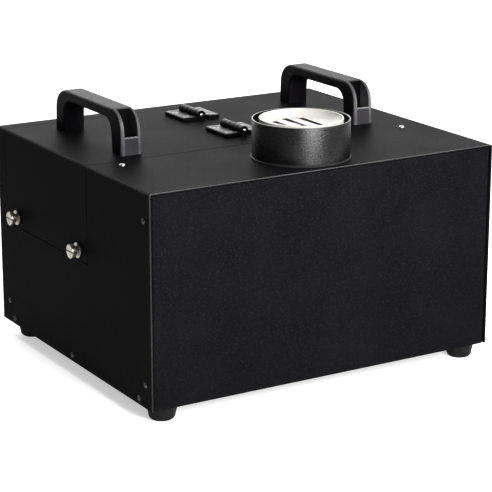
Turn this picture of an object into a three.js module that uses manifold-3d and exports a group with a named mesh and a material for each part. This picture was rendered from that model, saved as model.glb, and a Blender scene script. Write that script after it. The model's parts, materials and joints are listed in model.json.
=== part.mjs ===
// A stage flame machine: a sheet-steel box on rubber feet, with a flame nozzle on top, two bridge
// handles, and a hinged hatch over the bay of the gas cans.
// Millimetres. X runs right along the front, Y runs back, Z runs up, and the floor is at zero.

import * as THREE from 'three'
import { mergeVertices } from 'three/addons/utils/BufferGeometryUtils.js'
import Module from 'manifold-3d'

const wasm = await Module()
wasm.setup()

// Driving dimensions of the housing
const bodyWidth = 465
const bodyHeight = 250
const sheet = 2
const bendInside = 1
const seamGap = 0.8
const touchGap = 0.4
const panelRecess = 1
const panelGap = 1.2
const flangeDepth = 25
const trayHeight = 22
const centreLineX = 3

// How far a cutting solid runs past what it cuts
const overrun = 5

// Round pieces are made with these numbers of sides
const coarse = 8
const medium = 14
const fine = 24
const finest = 40

const foot = {
  height: 18, topRadius: 18, bottomRadius: 15.5, edge: 6, sideInset: 24, frontInset: 21.5,
  rearInset: 35, recessRadius: 5.5, recessDepth: 9,
}
const footEdgeSteps = 3

const hatch = { frontInset: 153.5, rearInset: 22, flapHeight: 118 }

const hinge = {
  length: 50, reach: 26, leaf: 4.6, barrelRadius: 5.8, pinRadius: 2.3, pinPlay: 0.25, knuckles: 5,
  knuckleGap: 0.4, window: 4, edge: 1.2, frontInset: 64.5, rearInset: 55, pinReach: 0.8,
  screwReach: 17, screwPitch: 28,
}

const leafScrew = { headRadius: 4.2, headDepth: 2.2, shankRadius: 2, play: 0.35 }

const handle = {
  length: 177, width: 28.5, height: 52, leg: 25, grip: 12.5, splay: 3, outerRadius: 25,
  innerRadius: 17, edge: 3.2, sideInset: 69.5, forward: 6.25, pocketWidth: 17.8, pocketReach: 17.5,
  pocketSill: 21, pocketLip: 3, pocketFloor: 10,
}

const handleScrew = { shankRadius: 3, play: 0.4 }

const thumb = {
  headRadius: 8.8, headLength: 5.8, collarRadius: 5.2, collarLength: 3.4, flangeRadius: 9.2,
  flangeThickness: 1.8, shankRadius: 2.8, play: 0.4, slotWidth: 1.6, slotDepth: 2, edge: 0.8,
  frontInset: 24, rearInset: 31, lift: 12, travel: 4, tip: 8, grooveDepth: 0.6,
}

const ring = { radius: 5, thickness: 1.2, play: 0.25, spare: 0.7 }

const catchStrip = { overlap: 20, edge: 4, endInset: 8, threadGap: 0.5, threadPlay: 0.3 }

const tube = {
  radius: 57.5, wall: 1.5, height: 45.5, flange: 9.5, lipReach: 1.2, lipHeight: 1.3, setBack: 65.6,
}

const cup = {
  radius: 49.3, wall: 2, proud: 1, floorDepth: 9, floorRadius: 38.5, floorThickness: 1.2,
  skirtRadius: 47.6, slotWidth: 6, slotLength: 74, sideSlotLength: 60, slotPitch: 18.5, ledge: 3.5,
}

const housing = { size: 100, depth: 62 }

const jet = {
  radius: 5, boreRadius: 1.6, baseRadius: 9, baseHeight: 6, tail: 16, clearance: 14, play: 0.4,
}

const electrode = {
  radius: 1.4, spread: 17, insulatorRadius: 4, insulatorAbove: 22, insulatorBelow: 12, play: 0.35,
  tipClearance: 8,
}

const fireWall = { setForward: 27.5, flange: 38 }

const bayWall = { fromHinge: 6, flange: 14 }

const can = {
  radius: 32.75, bodyLength: 168, shoulder: 18, neckRadius: 13, neckLength: 7, stemRadius: 4,
  stemLength: 9, baseEdge: 3, sideInset: 72.5, pitch: 85, axisHeight: 82, stemPlay: 0.5, wall: 1,
  boreRadius: 1.5,
}

const manifold = { depth: 20, height: 30, endReach: 18, socketDepth: 10 }

const cradle = {
  plate: 3, rib: 12, ribLow: 14, frontInset: 30, rearInset: 36, sideReach: 30, upright: 4,
  uprightAbove: 20, play: 0.4, behind: 21.8,
}

const pusher = { thickness: 5, halfHeight: 18, endReach: 20 }

const pusherSpring = { radius: 9, wire: 1.6, turns: 5, length: 24 }

const valve = {
  width: 36, depth: 28, height: 26, stubRadius: 6, outletRadius: 6, outletReach: 10, play: 1,
}

const coil = { width: 34, height: 42, play: 0.6, ventRadius: 1.2, capHeight: 5 }

const plunger = { radius: 6, length: 22 }

const valveSpring = { radius: 4.4, wire: 0.9, turns: 4 }

const pipe = { radius: 4, drop: 26, run: 30, steps: 22 }

const transformer = {
  width: 72, depth: 46, height: 38, terminalRadius: 5, terminalHeight: 9, terminalPitch: 32, setRight: 112,
}

const supply = { width: 130, depth: 84, height: 40, sideInset: 24, rearInset: 52, strip: 12 }

const board = {
  width: 150, height: 68, thickness: 1.6, behindPanel: 9, chip: 14, chipHeight: 3, standoffRadius: 3,
  standoffInset: 6, row: 58,
}

const display = { width: 70, height: 26, thickness: 3, row: 43, play: 0.4, proud: 0.6, lip: 2 }

const button = {
  radius: 4, flangeRadius: 5.6, flange: 1, proud: 1.8, stem: 3, stemRadius: 2, play: 0.4, pitch: 18,
  row: 74, count: 4,
}

const dataSocket = {
  width: 26, height: 31, flange: 2.5, bodyRadius: 11.6, bodyLength: 21, boreRadius: 9, boreDepth: 14,
  pinRadius: 1.2, pinLength: 8, pinCircle: 4.6, pins: 3, row: 124, play: 0.5,
}

const mainsSocket = {
  width: 48, height: 27, flange: 2.5, bodyWidth: 31, bodyHeight: 22, bodyLength: 22, boreWidth: 24,
  boreHeight: 16, boreDepth: 14, corner: 4, blade: 2, bladeHeight: 4, bladeLength: 8, bladePitch: 7,
  row: 50, play: 0.5, gap: 3,
}

const rocker = {
  frameWidth: 21, frameHeight: 30, frameFlange: 2, bodyLength: 18, openWidth: 14.4, openHeight: 24,
  openDepth: 13, width: 13.2, height: 22, crest: 3.4, waist: 1.4, heel: 8, heelHeight: 6, tilt: 8,
}

const lock = {
  radius: 11, flange: 3, bodyRadius: 9, bodyLength: 24, barrelRadius: 5.6, barrelLength: 14, play: 0.3,
  bowWidth: 20, bowLength: 16, bowThickness: 2.4, neckWidth: 8, neckLength: 4, ringHole: 1.8, bowCorner: 5,
}

const columns = { pitch: 45 }

const screw = { headRadius: 3.6, headHeight: 1.9, crown: 0.7, shankRadius: 1.7, play: 0.4, length: 8 }

const caseScrews = {
  columnInset: 14, rearColumnInset: 22.5, upperDrop: 33, lowerRise: 28, rowRise: 8, rowFront: 30,
  rowRear: 36, topSideInset: 37.3, topForward: 19.5,
}

// The depth follows from the gas cans: the burner's room before the fire wall, then the bay with the
// manifold, a can, the pusher with its spring, the cradle's upright, and the room behind it.
const frontRoom = hatch.frontInset - fireWall.setForward
const canLength = can.neckLength + can.shoulder + can.bodyLength
const pushLength = pusher.thickness + pusherSpring.length
const bayLength = manifold.depth + canLength + pushLength + cradle.upright + touchGap * 3 + cradle.behind
const bodyDepth = frontRoom + sheet + bayLength + sheet + panelRecess

// Levels and faces that follow from the sizes above. On the rear panel the mains sockets' row is
// measured up from the bottom, and every other row down from the top.
const left = -bodyWidth / 2
const right = bodyWidth / 2
const front = -bodyDepth / 2
const rear = bodyDepth / 2
const bottom = foot.height
const top = bottom + bodyHeight
const innerTop = top - sheet
const innerLeft = left + sheet
const innerRight = right - sheet
const frontFace = front + panelRecess
const rearFace = rear - panelRecess
const panelLeft = innerLeft + panelGap
const panelRight = innerRight - panelGap
const trayLeft = innerLeft + touchGap
const trayRight = innerRight - touchGap
const trayTop = bottom + sheet
const bendOutside = bendInside + sheet
const hatchFront = front + hatch.frontInset
const hatchRear = rear - hatch.rearInset
const hatchMiddle = (hatchFront + hatchRear) / 2
const flapBottom = top - hatch.flapHeight
const hingeZ = top + touchGap + hinge.barrelRadius
const nozzleY = front + tube.setBack
const tubeFoot = top + touchGap
const tubeTop = tubeFoot + tube.height
const cupTop = tubeTop + cup.proud
const fireWallY = hatchFront - fireWall.setForward
const underTop = innerTop - touchGap
const bayWallX = centreLineX + bayWall.fromHinge
const thumbZ = flapBottom + thumb.lift
const thumbYs = [hatchFront + thumb.frontInset, hatchRear - thumb.rearInset]
const hingeYs = [hatchFront + hinge.frontInset, hatchRear - hinge.rearInset]
const handleY = hatchMiddle - handle.forward
const leftHandleX = left + handle.sideInset
const rightHandleX = right - handle.sideInset
const insideRearFace = rearFace - sheet
const X = new THREE.Vector3(1, 0, 0)
const Y = new THREE.Vector3(0, 1, 0)
const Z = new THREE.Vector3(0, 0, 1)

// Finishes
const finish = {
  powderCoat: { color: 0x1b1b1d, roughness: 0.55, metalness: 0.1 },
  mouldedBlack: { color: 0x202022, roughness: 0.5, metalness: 0 },
  rubber: { color: 0x131313, roughness: 0.85, metalness: 0 },
  blackSteel: { color: 0x242426, roughness: 0.45, metalness: 0.6 },
  brightSteel: { color: 0xc9cbcd, roughness: 0.28, metalness: 1 },
  whiteEnamel: { color: 0xf1f0ec, roughness: 0.5, metalness: 0 },
  zinc: { color: 0xa9adb0, roughness: 0.45, metalness: 0.9 },
  brass: { color: 0xc09a4e, roughness: 0.35, metalness: 1 },
  copper: { color: 0xb06b48, roughness: 0.35, metalness: 1 },
  ceramic: { color: 0xeeeae0, roughness: 0.4, metalness: 0 },
  circuitGreen: { color: 0x1f5a38, roughness: 0.6, metalness: 0 },
  redPlastic: { color: 0xb3201c, roughness: 0.4, metalness: 0 },
  smokedWindow: { color: 0x101418, roughness: 0.15, metalness: 0 },
  canPaint: { color: 0xb9bcc0, roughness: 0.35, metalness: 0.7 },
}

// A closed three.js geometry becomes a solid that can be cut and joined.
function solid(geometry) {
  const bare = geometry.clone()
  bare.deleteAttribute('normal')
  bare.deleteAttribute('uv')
  const merged = mergeVertices(bare)
  const index = merged.index.array
  const corners = []
  for (let i = 0; i < index.length; i += 3) {
    const [a, b, c] = [index[i], index[i + 1], index[i + 2]]
    if (a !== b && b !== c && c !== a) corners.push(a, b, c)
  }
  const vertProperties = new Float32Array(merged.attributes.position.array)
  const made = new wasm.Mesh({ numProp: 3, vertProperties, triVerts: new Uint32Array(corners) })
  made.merge()
  return new wasm.Manifold(made)
}

function join(...solids) {
  return solids.reduce((whole, next) => whole.add(next))
}

function cut(body, ...cutters) {
  return cutters.reduce((rest, next) => rest.subtract(next), body)
}

// The outline of corners [across, up, radius], where a radius makes a round corner.
function outline(corners) {
  const path = new THREE.Shape()
  const reach = (point, isFirst) => (isFirst ? path.moveTo(point.x, point.y) : path.lineTo(point.x, point.y))
  corners.forEach((corner, i) => {
    const here = new THREE.Vector2(corner[0], corner[1])
    const radius = corner[2] ?? 0
    if (radius === 0) {
      reach(here, i === 0)
      return
    }
    const before = corners[(i + corners.length - 1) % corners.length]
    const after = corners[(i + 1) % corners.length]
    const back = new THREE.Vector2(before[0], before[1]).sub(here).normalize()
    const ahead = new THREE.Vector2(after[0], after[1]).sub(here).normalize()
    const half = Math.acos(back.dot(ahead)) / 2
    const centre = here.clone().addScaledVector(back.clone().add(ahead).normalize(), radius / Math.sin(half))
    const start = here.clone().addScaledVector(back, radius / Math.tan(half))
    const end = here.clone().addScaledVector(ahead, radius / Math.tan(half))
    reach(start, i === 0)
    const clockwise = back.cross(ahead) > 0
    path.absarc(centre.x, centre.y, radius, start.sub(centre).angle(), end.sub(centre).angle(), clockwise)
  })
  return path
}

function rectangle(a0, a1, b0, b1, radius = 0) {
  return outline([[a0, b0, radius], [a1, b0, radius], [a1, b1, radius], [a0, b1, radius]])
}

function extruded(shape, length, bevel, smooth) {
  const settings = { depth: length, bevelEnabled: false, curveSegments: smooth }
  if (bevel > 0) {
    settings.depth = length - bevel * 2
    settings.bevelEnabled = true
    settings.bevelThickness = bevel
    settings.bevelSize = bevel
    settings.bevelOffset = -bevel
    settings.bevelSegments = 2
  }
  const made = new THREE.ExtrudeGeometry(shape, settings)
  if (bevel > 0) made.translate(0, 0, bevel)
  return made
}

// A prism with its outline in x and y
function prismZ(shape, z0, z1, bevel = 0, smooth = 2) {
  const made = extruded(shape, z1 - z0, bevel, smooth)
  made.translate(0, 0, z0)
  return solid(made)
}

// A prism with its outline in x and z
function prismY(shape, y0, y1, bevel = 0, smooth = 2) {
  const made = extruded(shape, y1 - y0, bevel, smooth)
  made.applyMatrix4(new THREE.Matrix4().makeBasis(X, Z, Y.clone().negate()))
  made.translate(0, y1, 0)
  return solid(made)
}

// A prism with its outline in y and z
function prismX(shape, x0, x1, bevel = 0, smooth = 2) {
  const made = extruded(shape, x1 - x0, bevel, smooth)
  made.applyMatrix4(new THREE.Matrix4().makeBasis(Y, Z, X))
  made.translate(x0, 0, 0)
  return solid(made)
}

function block(x0, x1, y0, y1, z0, z1) {
  const made = new THREE.BoxGeometry(x1 - x0, y1 - y0, z1 - z0)
  made.translate((x0 + x1) / 2, (y0 + y1) / 2, (z0 + z1) / 2)
  return solid(made)
}

// A turned piece: the profile's points are [radius, distance along the axis], from low to high.
// It starts and ends on the axis, or closes on itself.
function turned(axis, place, profile, sides) {
  const points = profile.map(([radius, along]) => new THREE.Vector2(radius, along))
  const made = new THREE.LatheGeometry(points, sides)
  const basis = new THREE.Matrix4()
  if (axis === 'x') basis.makeBasis(Z, X, Y)
  if (axis === 'y') basis.makeBasis(X, Y, Z)
  if (axis === 'z') basis.makeBasis(Y, Z, X)
  made.applyMatrix4(basis)
  made.translate(...place)
  return solid(made)
}

function rod(axis, place, radius, from, to, sides) {
  return turned(axis, place, [[0, from], [radius, from], [radius, to], [0, to]], sides)
}

class Helix extends THREE.Curve {
  constructor(radius, length, turns) {
    super()
    this.radius = radius
    this.length = length
    this.turns = turns
  }

  getPoint(share, target = new THREE.Vector3()) {
    const angle = share * this.turns * Math.PI * 2
    return target.set(this.radius * Math.cos(angle), this.radius * Math.sin(angle), this.length * share)
  }
}

// A coil spring from one face to another along an axis
function spring(axis, place, radius, wire, turns, from, to) {
  const section = new THREE.Shape().absarc(0, 0, wire / 2, 0, Math.PI * 2)
  const path = new Helix(radius, to - from - wire - touchGap * 2, turns)
  const settings = { steps: turns * 8, curveSegments: 3, extrudePath: path, bevelEnabled: false }
  const made = new THREE.ExtrudeGeometry(section, settings)
  made.translate(0, 0, from + wire / 2 + touchGap)
  if (axis === 'y') made.applyMatrix4(new THREE.Matrix4().makeBasis(Z, X, Y))
  made.translate(...place)
  return solid(made)
}

const machine = new THREE.Group()

function add(name, body, look, carrier = machine) {
  const { vertProperties, triVerts } = body.getMesh()
  const geometry = new THREE.BufferGeometry()
  geometry.setAttribute('position', new THREE.BufferAttribute(vertProperties, 3))
  geometry.setIndex(new THREE.BufferAttribute(triVerts, 1))
  geometry.computeVertexNormals()
  const piece = new THREE.Mesh(geometry, new THREE.MeshStandardMaterial(look))
  piece.name = name
  carrier.add(piece)
  return piece
}

// Places of the small screws that hold the cover: on both sides [y, z], and on top [x, y]
const sideScrewPlaces = [
  [front + caseScrews.columnInset, top - caseScrews.upperDrop],
  [front + caseScrews.columnInset, bottom + caseScrews.lowerRise],
  [rear - caseScrews.rearColumnInset, bottom + caseScrews.lowerRise],
  [front + caseScrews.rowFront, bottom + caseScrews.rowRise],
  [0, bottom + caseScrews.rowRise],
  [rear - caseScrews.rowRear, bottom + caseScrews.rowRise],
]
const topScrewPlaces = [
  [left + caseScrews.topSideInset, hatchFront - caseScrews.topForward],
  [right - caseScrews.topSideInset, hatchFront - caseScrews.topForward],
]
const footPlaces = {
  front_left: [left + foot.sideInset, front + foot.frontInset],
  front_right: [right - foot.sideInset, front + foot.frontInset],
  rear_left: [left + foot.sideInset, rear - foot.rearInset],
  rear_right: [right - foot.sideInset, rear - foot.rearInset],
}

function screwHole(axis, place, from, to) {
  return rod(axis, place, screw.shankRadius + screw.play, from, to, coarse)
}

const sideScrewHoles = sideScrewPlaces.map(([y, z]) => (
  screwHole('x', [0, y, z], left - overrun, right + overrun)
))
const topScrewHoles = topScrewPlaces.map(([x, y]) => (
  screwHole('z', [x, y, 0], top - screw.length, top + overrun)
))
const footScrewHoles = Object.values(footPlaces).map(([x, y]) => (
  screwHole('z', [x, y, 0], bottom - overrun, trayTop + overrun)
))

// Places of the screws of hinges and handles, as [x, y]
const leafScrewYs = hingeYs.flatMap((y) => [y - hinge.screwPitch / 2, y + hinge.screwPitch / 2])
const handleScrewEnd = handle.length / 2 - (handle.pocketLip + handle.pocketReach) / 2
const handleScrewYs = [handleY - handleScrewEnd, handleY + handleScrewEnd]

function leafScrewHoles(x) {
  const radius = leafScrew.shankRadius + leafScrew.play
  return leafScrewYs.map((y) => rod('z', [x, y, 0], radius, innerTop - overrun, top + overrun, coarse))
}

function handleScrewHoles(x) {
  const radius = handleScrew.shankRadius + handleScrew.play
  const through = top + touchGap + handle.pocketFloor + overrun
  return handleScrewYs.map((y) => rod('z', [x, y, 0], radius, innerTop - overrun, through, coarse))
}

// Cover: one sheet bent over the top and both sides, cut away for the hatch
function makeCover() {
  const section = outline([
    [left, bottom], [left, top, bendOutside], [right, top, bendOutside], [right, bottom],
    [innerRight, bottom], [innerRight, innerTop, bendInside],
    [innerLeft, innerTop, bendInside], [innerLeft, bottom],
  ])
  const hatchSpace = block(
    left - overrun, centreLineX + seamGap / 2, hatchFront - seamGap / 2, hatchRear + seamGap / 2,
    flapBottom - seamGap / 2, top + overrun,
  )
  const flameHole = rod(
    'z', [centreLineX, nozzleY, 0], housing.size / 2 - sheet, innerTop - overrun, top + overrun, fine,
  )
  return cut(
    prismY(section, front, rear), hatchSpace, flameHole, ...sideScrewHoles, ...topScrewHoles,
    ...handleScrewHoles(rightHandleX), ...leafScrewHoles(centreLineX + hinge.screwReach),
  )
}
add('cover_shell', makeCover(), finish.powderCoat)

// Front panel: a sheet with both side edges turned back
function makePanel(outerY, inward) {
  const flangeEnd = outerY + inward * flangeDepth
  const innerY = outerY + inward * sheet
  return outline([
    [panelLeft, flangeEnd], [panelLeft, outerY, bendOutside], [panelRight, outerY, bendOutside],
    [panelRight, flangeEnd], [panelRight - sheet, flangeEnd], [panelRight - sheet, innerY, bendInside],
    [panelLeft + sheet, innerY, bendInside], [panelLeft + sheet, flangeEnd],
  ])
}
const panelTop = innerTop - seamGap
const plainFront = prismZ(makePanel(frontFace, 1), bottom, panelTop)
add('front_panel', cut(plainFront, ...sideScrewHoles), finish.powderCoat)

// Places of the things on the rear panel, which all stand in the bay of the electrics
const columnMiddle = (bayWallX + right) / 2
const columnX = [-1.5, -0.5, 0.5, 1.5].map((steps) => columnMiddle + columns.pitch * steps)
const dataPlaces = [[columnX[0], top - dataSocket.row], [columnX[1], top - dataSocket.row]]
const mainsPlaces = [
  [columnX[0], bottom + mainsSocket.row],
  [columnX[0] + mainsSocket.width + mainsSocket.gap, bottom + mainsSocket.row],
]
const rockerPlace = [columnX[3] + rocker.frameWidth / 2, bottom + mainsSocket.row]
const lockPlace = [columnX[3], top - dataSocket.row]
const displayZ = top - display.row
const buttonPlaces = Array.from({ length: button.count }, (_, i) => (
  [columnMiddle + (i - (button.count - 1) / 2) * button.pitch, top - button.row]
))

function makeRearPanel() {
  const from = insideRearFace - overrun
  const to = rearFace + overrun
  const dataHoles = dataPlaces.map(([x, z]) => (
    rod('y', [x, 0, z], dataSocket.bodyRadius + dataSocket.play, from, to, fine)
  ))
  const halfMainsWidth = mainsSocket.bodyWidth / 2 + mainsSocket.play
  const halfMainsHeight = mainsSocket.bodyHeight / 2 + mainsSocket.play
  const mainsHoles = mainsPlaces.map(([x, z]) => (
    block(x - halfMainsWidth, x + halfMainsWidth, from, to, z - halfMainsHeight, z + halfMainsHeight)
  ))
  const buttonHoles = buttonPlaces.map(([x, z]) => (
    rod('y', [x, 0, z], button.radius + button.play, from, to, medium)
  ))
  const halfWindowWidth = display.width / 2 + display.play
  const halfWindowHeight = display.height / 2 + display.play
  const windowHole = block(
    columnMiddle - halfWindowWidth, columnMiddle + halfWindowWidth, from, to,
    displayZ - halfWindowHeight, displayZ + halfWindowHeight,
  )
  const halfRockerWidth = rocker.openWidth / 2 + sheet + touchGap
  const halfRockerHeight = rocker.openHeight / 2 + sheet + touchGap
  const rockerHole = block(
    rockerPlace[0] - halfRockerWidth, rockerPlace[0] + halfRockerWidth, from, to,
    rockerPlace[1] - halfRockerHeight, rockerPlace[1] + halfRockerHeight,
  )
  const lockHole = rod('y', [lockPlace[0], 0, lockPlace[1]], lock.bodyRadius + lock.play, from, to, fine)
  return cut(
    prismZ(makePanel(rearFace, -1), bottom, panelTop), ...sideScrewHoles, ...dataHoles, ...mainsHoles,
    ...buttonHoles, windowHole, rockerHole, lockHole,
  )
}
add('rear_panel', makeRearPanel(), finish.powderCoat)

// Base tray: it lies between the panels, with its side edges turned up between their flanges
function makeTray() {
  const section = outline([
    [trayLeft, bottom + trayHeight], [trayLeft, bottom, bendOutside], [trayRight, bottom, bendOutside],
    [trayRight, bottom + trayHeight], [trayRight - sheet, bottom + trayHeight],
    [trayRight - sheet, trayTop, bendInside], [trayLeft + sheet, trayTop, bendInside],
    [trayLeft + sheet, bottom + trayHeight],
  ])
  const flangeEnd = frontFace + flangeDepth + touchGap
  const tongueSide = panelRight - sheet - touchGap
  const tongueEnd = insideRearFace - touchGap
  const flanged = prismY(section, flangeEnd, -flangeEnd)
  const tongue = block(-tongueSide, tongueSide, -tongueEnd, tongueEnd, bottom, trayTop)
  return cut(join(flanged, tongue), ...sideScrewHoles, ...footScrewHoles)
}
add('base_tray', makeTray(), finish.powderCoat)

// Fire wall: it parts the burner from the bay, and its top flange carries the hatch's front edge
const stubHoleRadius = valve.stubRadius + valve.play
const canXs = [left + can.sideInset, left + can.sideInset + can.pitch]
const canZ = bottom + can.axisHeight
const valveX = (canXs[0] + canXs[1]) / 2
const wallSide = trayRight - sheet - touchGap
function makeFireWall() {
  const section = outline([
    [fireWallY, trayTop + touchGap], [fireWallY, underTop, bendOutside],
    [fireWallY + fireWall.flange, underTop], [fireWallY + fireWall.flange, underTop - sheet],
    [fireWallY + sheet, underTop - sheet, bendInside], [fireWallY + sheet, trayTop + touchGap],
  ])
  const stubHole = rod(
    'y', [valveX, 0, canZ], stubHoleRadius, fireWallY - overrun, fireWallY + sheet + overrun, medium,
  )
  return cut(prismX(section, -wallSide, wallSide), stubHole, ...topScrewHoles)
}
add('fire_wall', makeFireWall(), finish.zinc)

// Bay wall: it parts the gas cans from the electrics, and its flange carries the hinge line
function makeBayWall() {
  const flangeLeft = bayWallX - bayWall.flange
  const section = outline([
    [bayWallX, trayTop + touchGap], [bayWallX, underTop - sheet, bendInside], [flangeLeft, underTop - sheet],
    [flangeLeft, underTop], [bayWallX + sheet, underTop, bendOutside], [bayWallX + sheet, trayTop + touchGap],
  ])
  const flangeFront = fireWallY + fireWall.flange + touchGap
  const webFront = fireWallY + sheet + touchGap
  const web = block(
    bayWallX, bayWallX + sheet, webFront, flangeFront + overrun,
    trayTop + touchGap, underTop - sheet - bendOutside,
  )
  return join(prismY(section, flangeFront, insideRearFace - touchGap), web)
}
add('bay_wall', makeBayWall(), finish.zinc)

// Catch strip: a joggled strip inside the left wall, tapped for the thumb screws
const shankTipX = innerLeft + thumb.tip
const stripX = shankTipX + catchStrip.threadGap
function makeCatchStrip() {
  const low = flapBottom - catchStrip.overlap
  const bend = flapBottom - catchStrip.edge
  const high = flapBottom + catchStrip.overlap
  const section = outline([
    [trayLeft, low], [trayLeft, bend], [stripX, flapBottom], [stripX, high], [stripX + sheet, high],
    [stripX + sheet, flapBottom - sheet], [trayLeft + sheet, bend - sheet], [trayLeft + sheet, low],
  ])
  const threadRadius = thumb.shankRadius + catchStrip.threadPlay
  const threads = thumbYs.map((y) => (
    rod('x', [0, y, thumbZ], threadRadius, stripX - overrun, stripX + overrun, medium)
  ))
  return cut(prismY(section, hatchFront + catchStrip.endInset, hatchRear - catchStrip.endInset), ...threads)
}
add('catch_strip', makeCatchStrip(), finish.zinc)

// Feet: tapered rubber with a round lower edge, and a recess for the screw
const footTop = foot.height - touchGap
const footEdge = Array.from({ length: footEdgeSteps + 1 }, (_, i) => {
  const angle = (i / footEdgeSteps) * (Math.PI / 2)
  const radius = foot.bottomRadius - foot.edge + foot.edge * Math.sin(angle)
  return [radius, foot.edge - foot.edge * Math.cos(angle)]
})
for (const [place, [x, y]] of Object.entries(footPlaces)) {
  const plain = turned('z', [x, y, 0], [[0, 0], ...footEdge, [foot.topRadius, footTop], [0, footTop]], fine)
  const recess = rod('z', [x, y, 0], foot.recessRadius, -overrun, foot.recessDepth, medium)
  const hole = rod('z', [x, y, 0], screw.shankRadius + screw.play, 0, footTop + overrun, coarse)
  add(`rubber_foot_${place}`, cut(plain, recess, hole), finish.rubber)
}

// Top screws: pan heads that hold the cover to the fire wall
topScrewPlaces.forEach(([x, y], i) => {
  const seat = top + touchGap
  const crown = seat + screw.headHeight
  add(`top_screw_${['left', 'right'][i]}`, turned('z', [x, y, 0], [
    [0, seat - screw.length], [screw.shankRadius, seat - screw.length], [screw.shankRadius, seat],
    [screw.headRadius, seat], [screw.headRadius, crown - screw.crown],
    [screw.headRadius - screw.crown * 2, crown], [0, crown],
  ], coarse), finish.brightSteel)
})

// Hatch: one sheet bent over the corner, hinged on the centre line
function makeHatch() {
  const hingeSide = centreLineX - seamGap / 2
  const flapEdge = flapBottom + seamGap / 2
  const section = outline([
    [left, flapEdge], [left, top, bendOutside], [hingeSide, top], [hingeSide, innerTop],
    [innerLeft, innerTop, bendInside], [innerLeft, flapEdge],
  ])
  const thumbHoles = thumbYs.map((y) => (
    rod('x', [0, y, thumbZ], thumb.shankRadius + thumb.play, left - overrun, innerLeft + overrun, medium)
  ))
  return cut(
    prismY(section, hatchFront + seamGap / 2, hatchRear - seamGap / 2), ...thumbHoles,
    ...handleScrewHoles(leftHandleX), ...leafScrewHoles(centreLineX - hinge.screwReach),
  )
}
add('hatch_panel', makeHatch(), finish.powderCoat)

// Handles: a moulded bridge with an open pocket for the screw at each end
function makeHandle(x) {
  const foot0 = top + touchGap
  const footLow = foot0 - handle.edge
  const crown = foot0 + handle.height
  const half = handle.length / 2
  const inner = half - handle.leg
  const halfLow = half + handle.splay * handle.edge / handle.height
  const innerLow = inner + handle.splay * handle.edge / (handle.height - handle.grip)
  const arch = outline([
    [handleY - halfLow, footLow], [handleY - half + handle.splay, crown, handle.outerRadius],
    [handleY + half - handle.splay, crown, handle.outerRadius], [handleY + halfLow, footLow],
    [handleY + innerLow, footLow], [handleY + inner - handle.splay, crown - handle.grip, handle.innerRadius],
    [handleY - inner + handle.splay, crown - handle.grip, handle.innerRadius], [handleY - innerLow, footLow],
  ])
  const halfWidth = handle.width / 2
  const round = prismX(arch, x - halfWidth, x + halfWidth, handle.edge, 4)
  const below = block(
    x - halfWidth - overrun, x + halfWidth + overrun, handleY - halfLow - overrun,
    handleY + halfLow + overrun, footLow - overrun, foot0,
  )
  const body = cut(round, below)
  const pockets = [-1, 1].map((end) => {
    const tip = handleY + end * half
    const lip = tip - end * handle.pocketLip
    const back = tip - end * (handle.pocketReach + handle.pocketLip)
    const corners = [
      [tip + end * overrun, foot0 + handle.pocketSill], [lip, foot0 + handle.pocketSill],
      [lip, foot0 + handle.pocketFloor], [back, foot0 + handle.pocketFloor], [back, crown + overrun],
      [tip + end * overrun, crown + overrun],
    ]
    return prismX(outline(corners), x - handle.pocketWidth / 2, x + handle.pocketWidth / 2)
  })
  return cut(body, ...pockets, ...handleScrewHoles(x))
}
add('left_handle', makeHandle(leftHandleX), finish.mouldedBlack)
add('right_handle', makeHandle(rightHandleX), finish.mouldedBlack)

// Hinges: knuckles alternate between the moving leaf (side -1) and the fixed leaf (side 1)
const leafFloor = top + touchGap
const leafTop = leafFloor + hinge.leaf
function makeLeaf(side, y) {
  const knuckle = hinge.length / hinge.knuckles
  const start = y - hinge.length / 2
  const end = y + hinge.length / 2
  const outer = centreLineX + side * hinge.reach
  const inner = centreLineX + side * (hinge.barrelRadius + hinge.window)
  const [plateLeft, plateRight] = side < 0 ? [outer, inner] : [inner, outer]
  const plate = prismZ(rectangle(plateLeft, plateRight, start, end), leafFloor, leafTop)
  const slopeStart = outer - side * hinge.edge
  const slopeEnd = outer + side * (hinge.edge + overrun)
  const outerEdge = prismY(outline([
    [slopeStart, leafTop + overrun], [slopeStart, leafTop], [outer, leafTop - hinge.edge],
    [slopeEnd, leafTop - hinge.edge], [slopeEnd, leafTop + overrun],
  ]), start - overrun, end + overrun)
  const armEnd = outer - side * hinge.edge * 2
  const [armLeft, armRight] = side < 0 ? [armEnd, centreLineX] : [centreLineX, armEnd]
  const knuckles = []
  for (let i = side < 0 ? 0 : 1; i < hinge.knuckles; i += 2) {
    const k0 = start + knuckle * i + hinge.knuckleGap / 2
    const k1 = start + knuckle * (i + 1) - hinge.knuckleGap / 2
    knuckles.push(block(armLeft, armRight, k0, k1, leafFloor, leafTop))
    knuckles.push(rod('y', [centreLineX, 0, hingeZ], hinge.barrelRadius, k0, k1, medium))
  }
  const boreRadius = hinge.pinRadius + hinge.pinPlay
  const bore = rod('y', [centreLineX, 0, hingeZ], boreRadius, start - overrun, end + overrun, medium)
  const screwX = centreLineX + side * hinge.screwReach
  const holeRadius = leafScrew.shankRadius + leafScrew.play
  const sinkRadius = leafScrew.headRadius + leafScrew.play
  const sinks = [-1, 1].map((way) => turned('z', [screwX, y + way * hinge.screwPitch / 2, 0], [
    [0, leafFloor - overrun], [holeRadius, leafFloor - overrun], [holeRadius, leafTop - leafScrew.headDepth],
    [sinkRadius, leafTop], [sinkRadius, leafTop + overrun], [0, leafTop + overrun],
  ], medium))
  return cut(join(cut(plate, outerEdge), ...knuckles), bore, ...sinks)
}
add('front_hinge_moving_leaf', makeLeaf(-1, hingeYs[0]), finish.mouldedBlack)
add('front_hinge_fixed_leaf', makeLeaf(1, hingeYs[0]), finish.mouldedBlack)
add('rear_hinge_moving_leaf', makeLeaf(-1, hingeYs[1]), finish.mouldedBlack)
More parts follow.
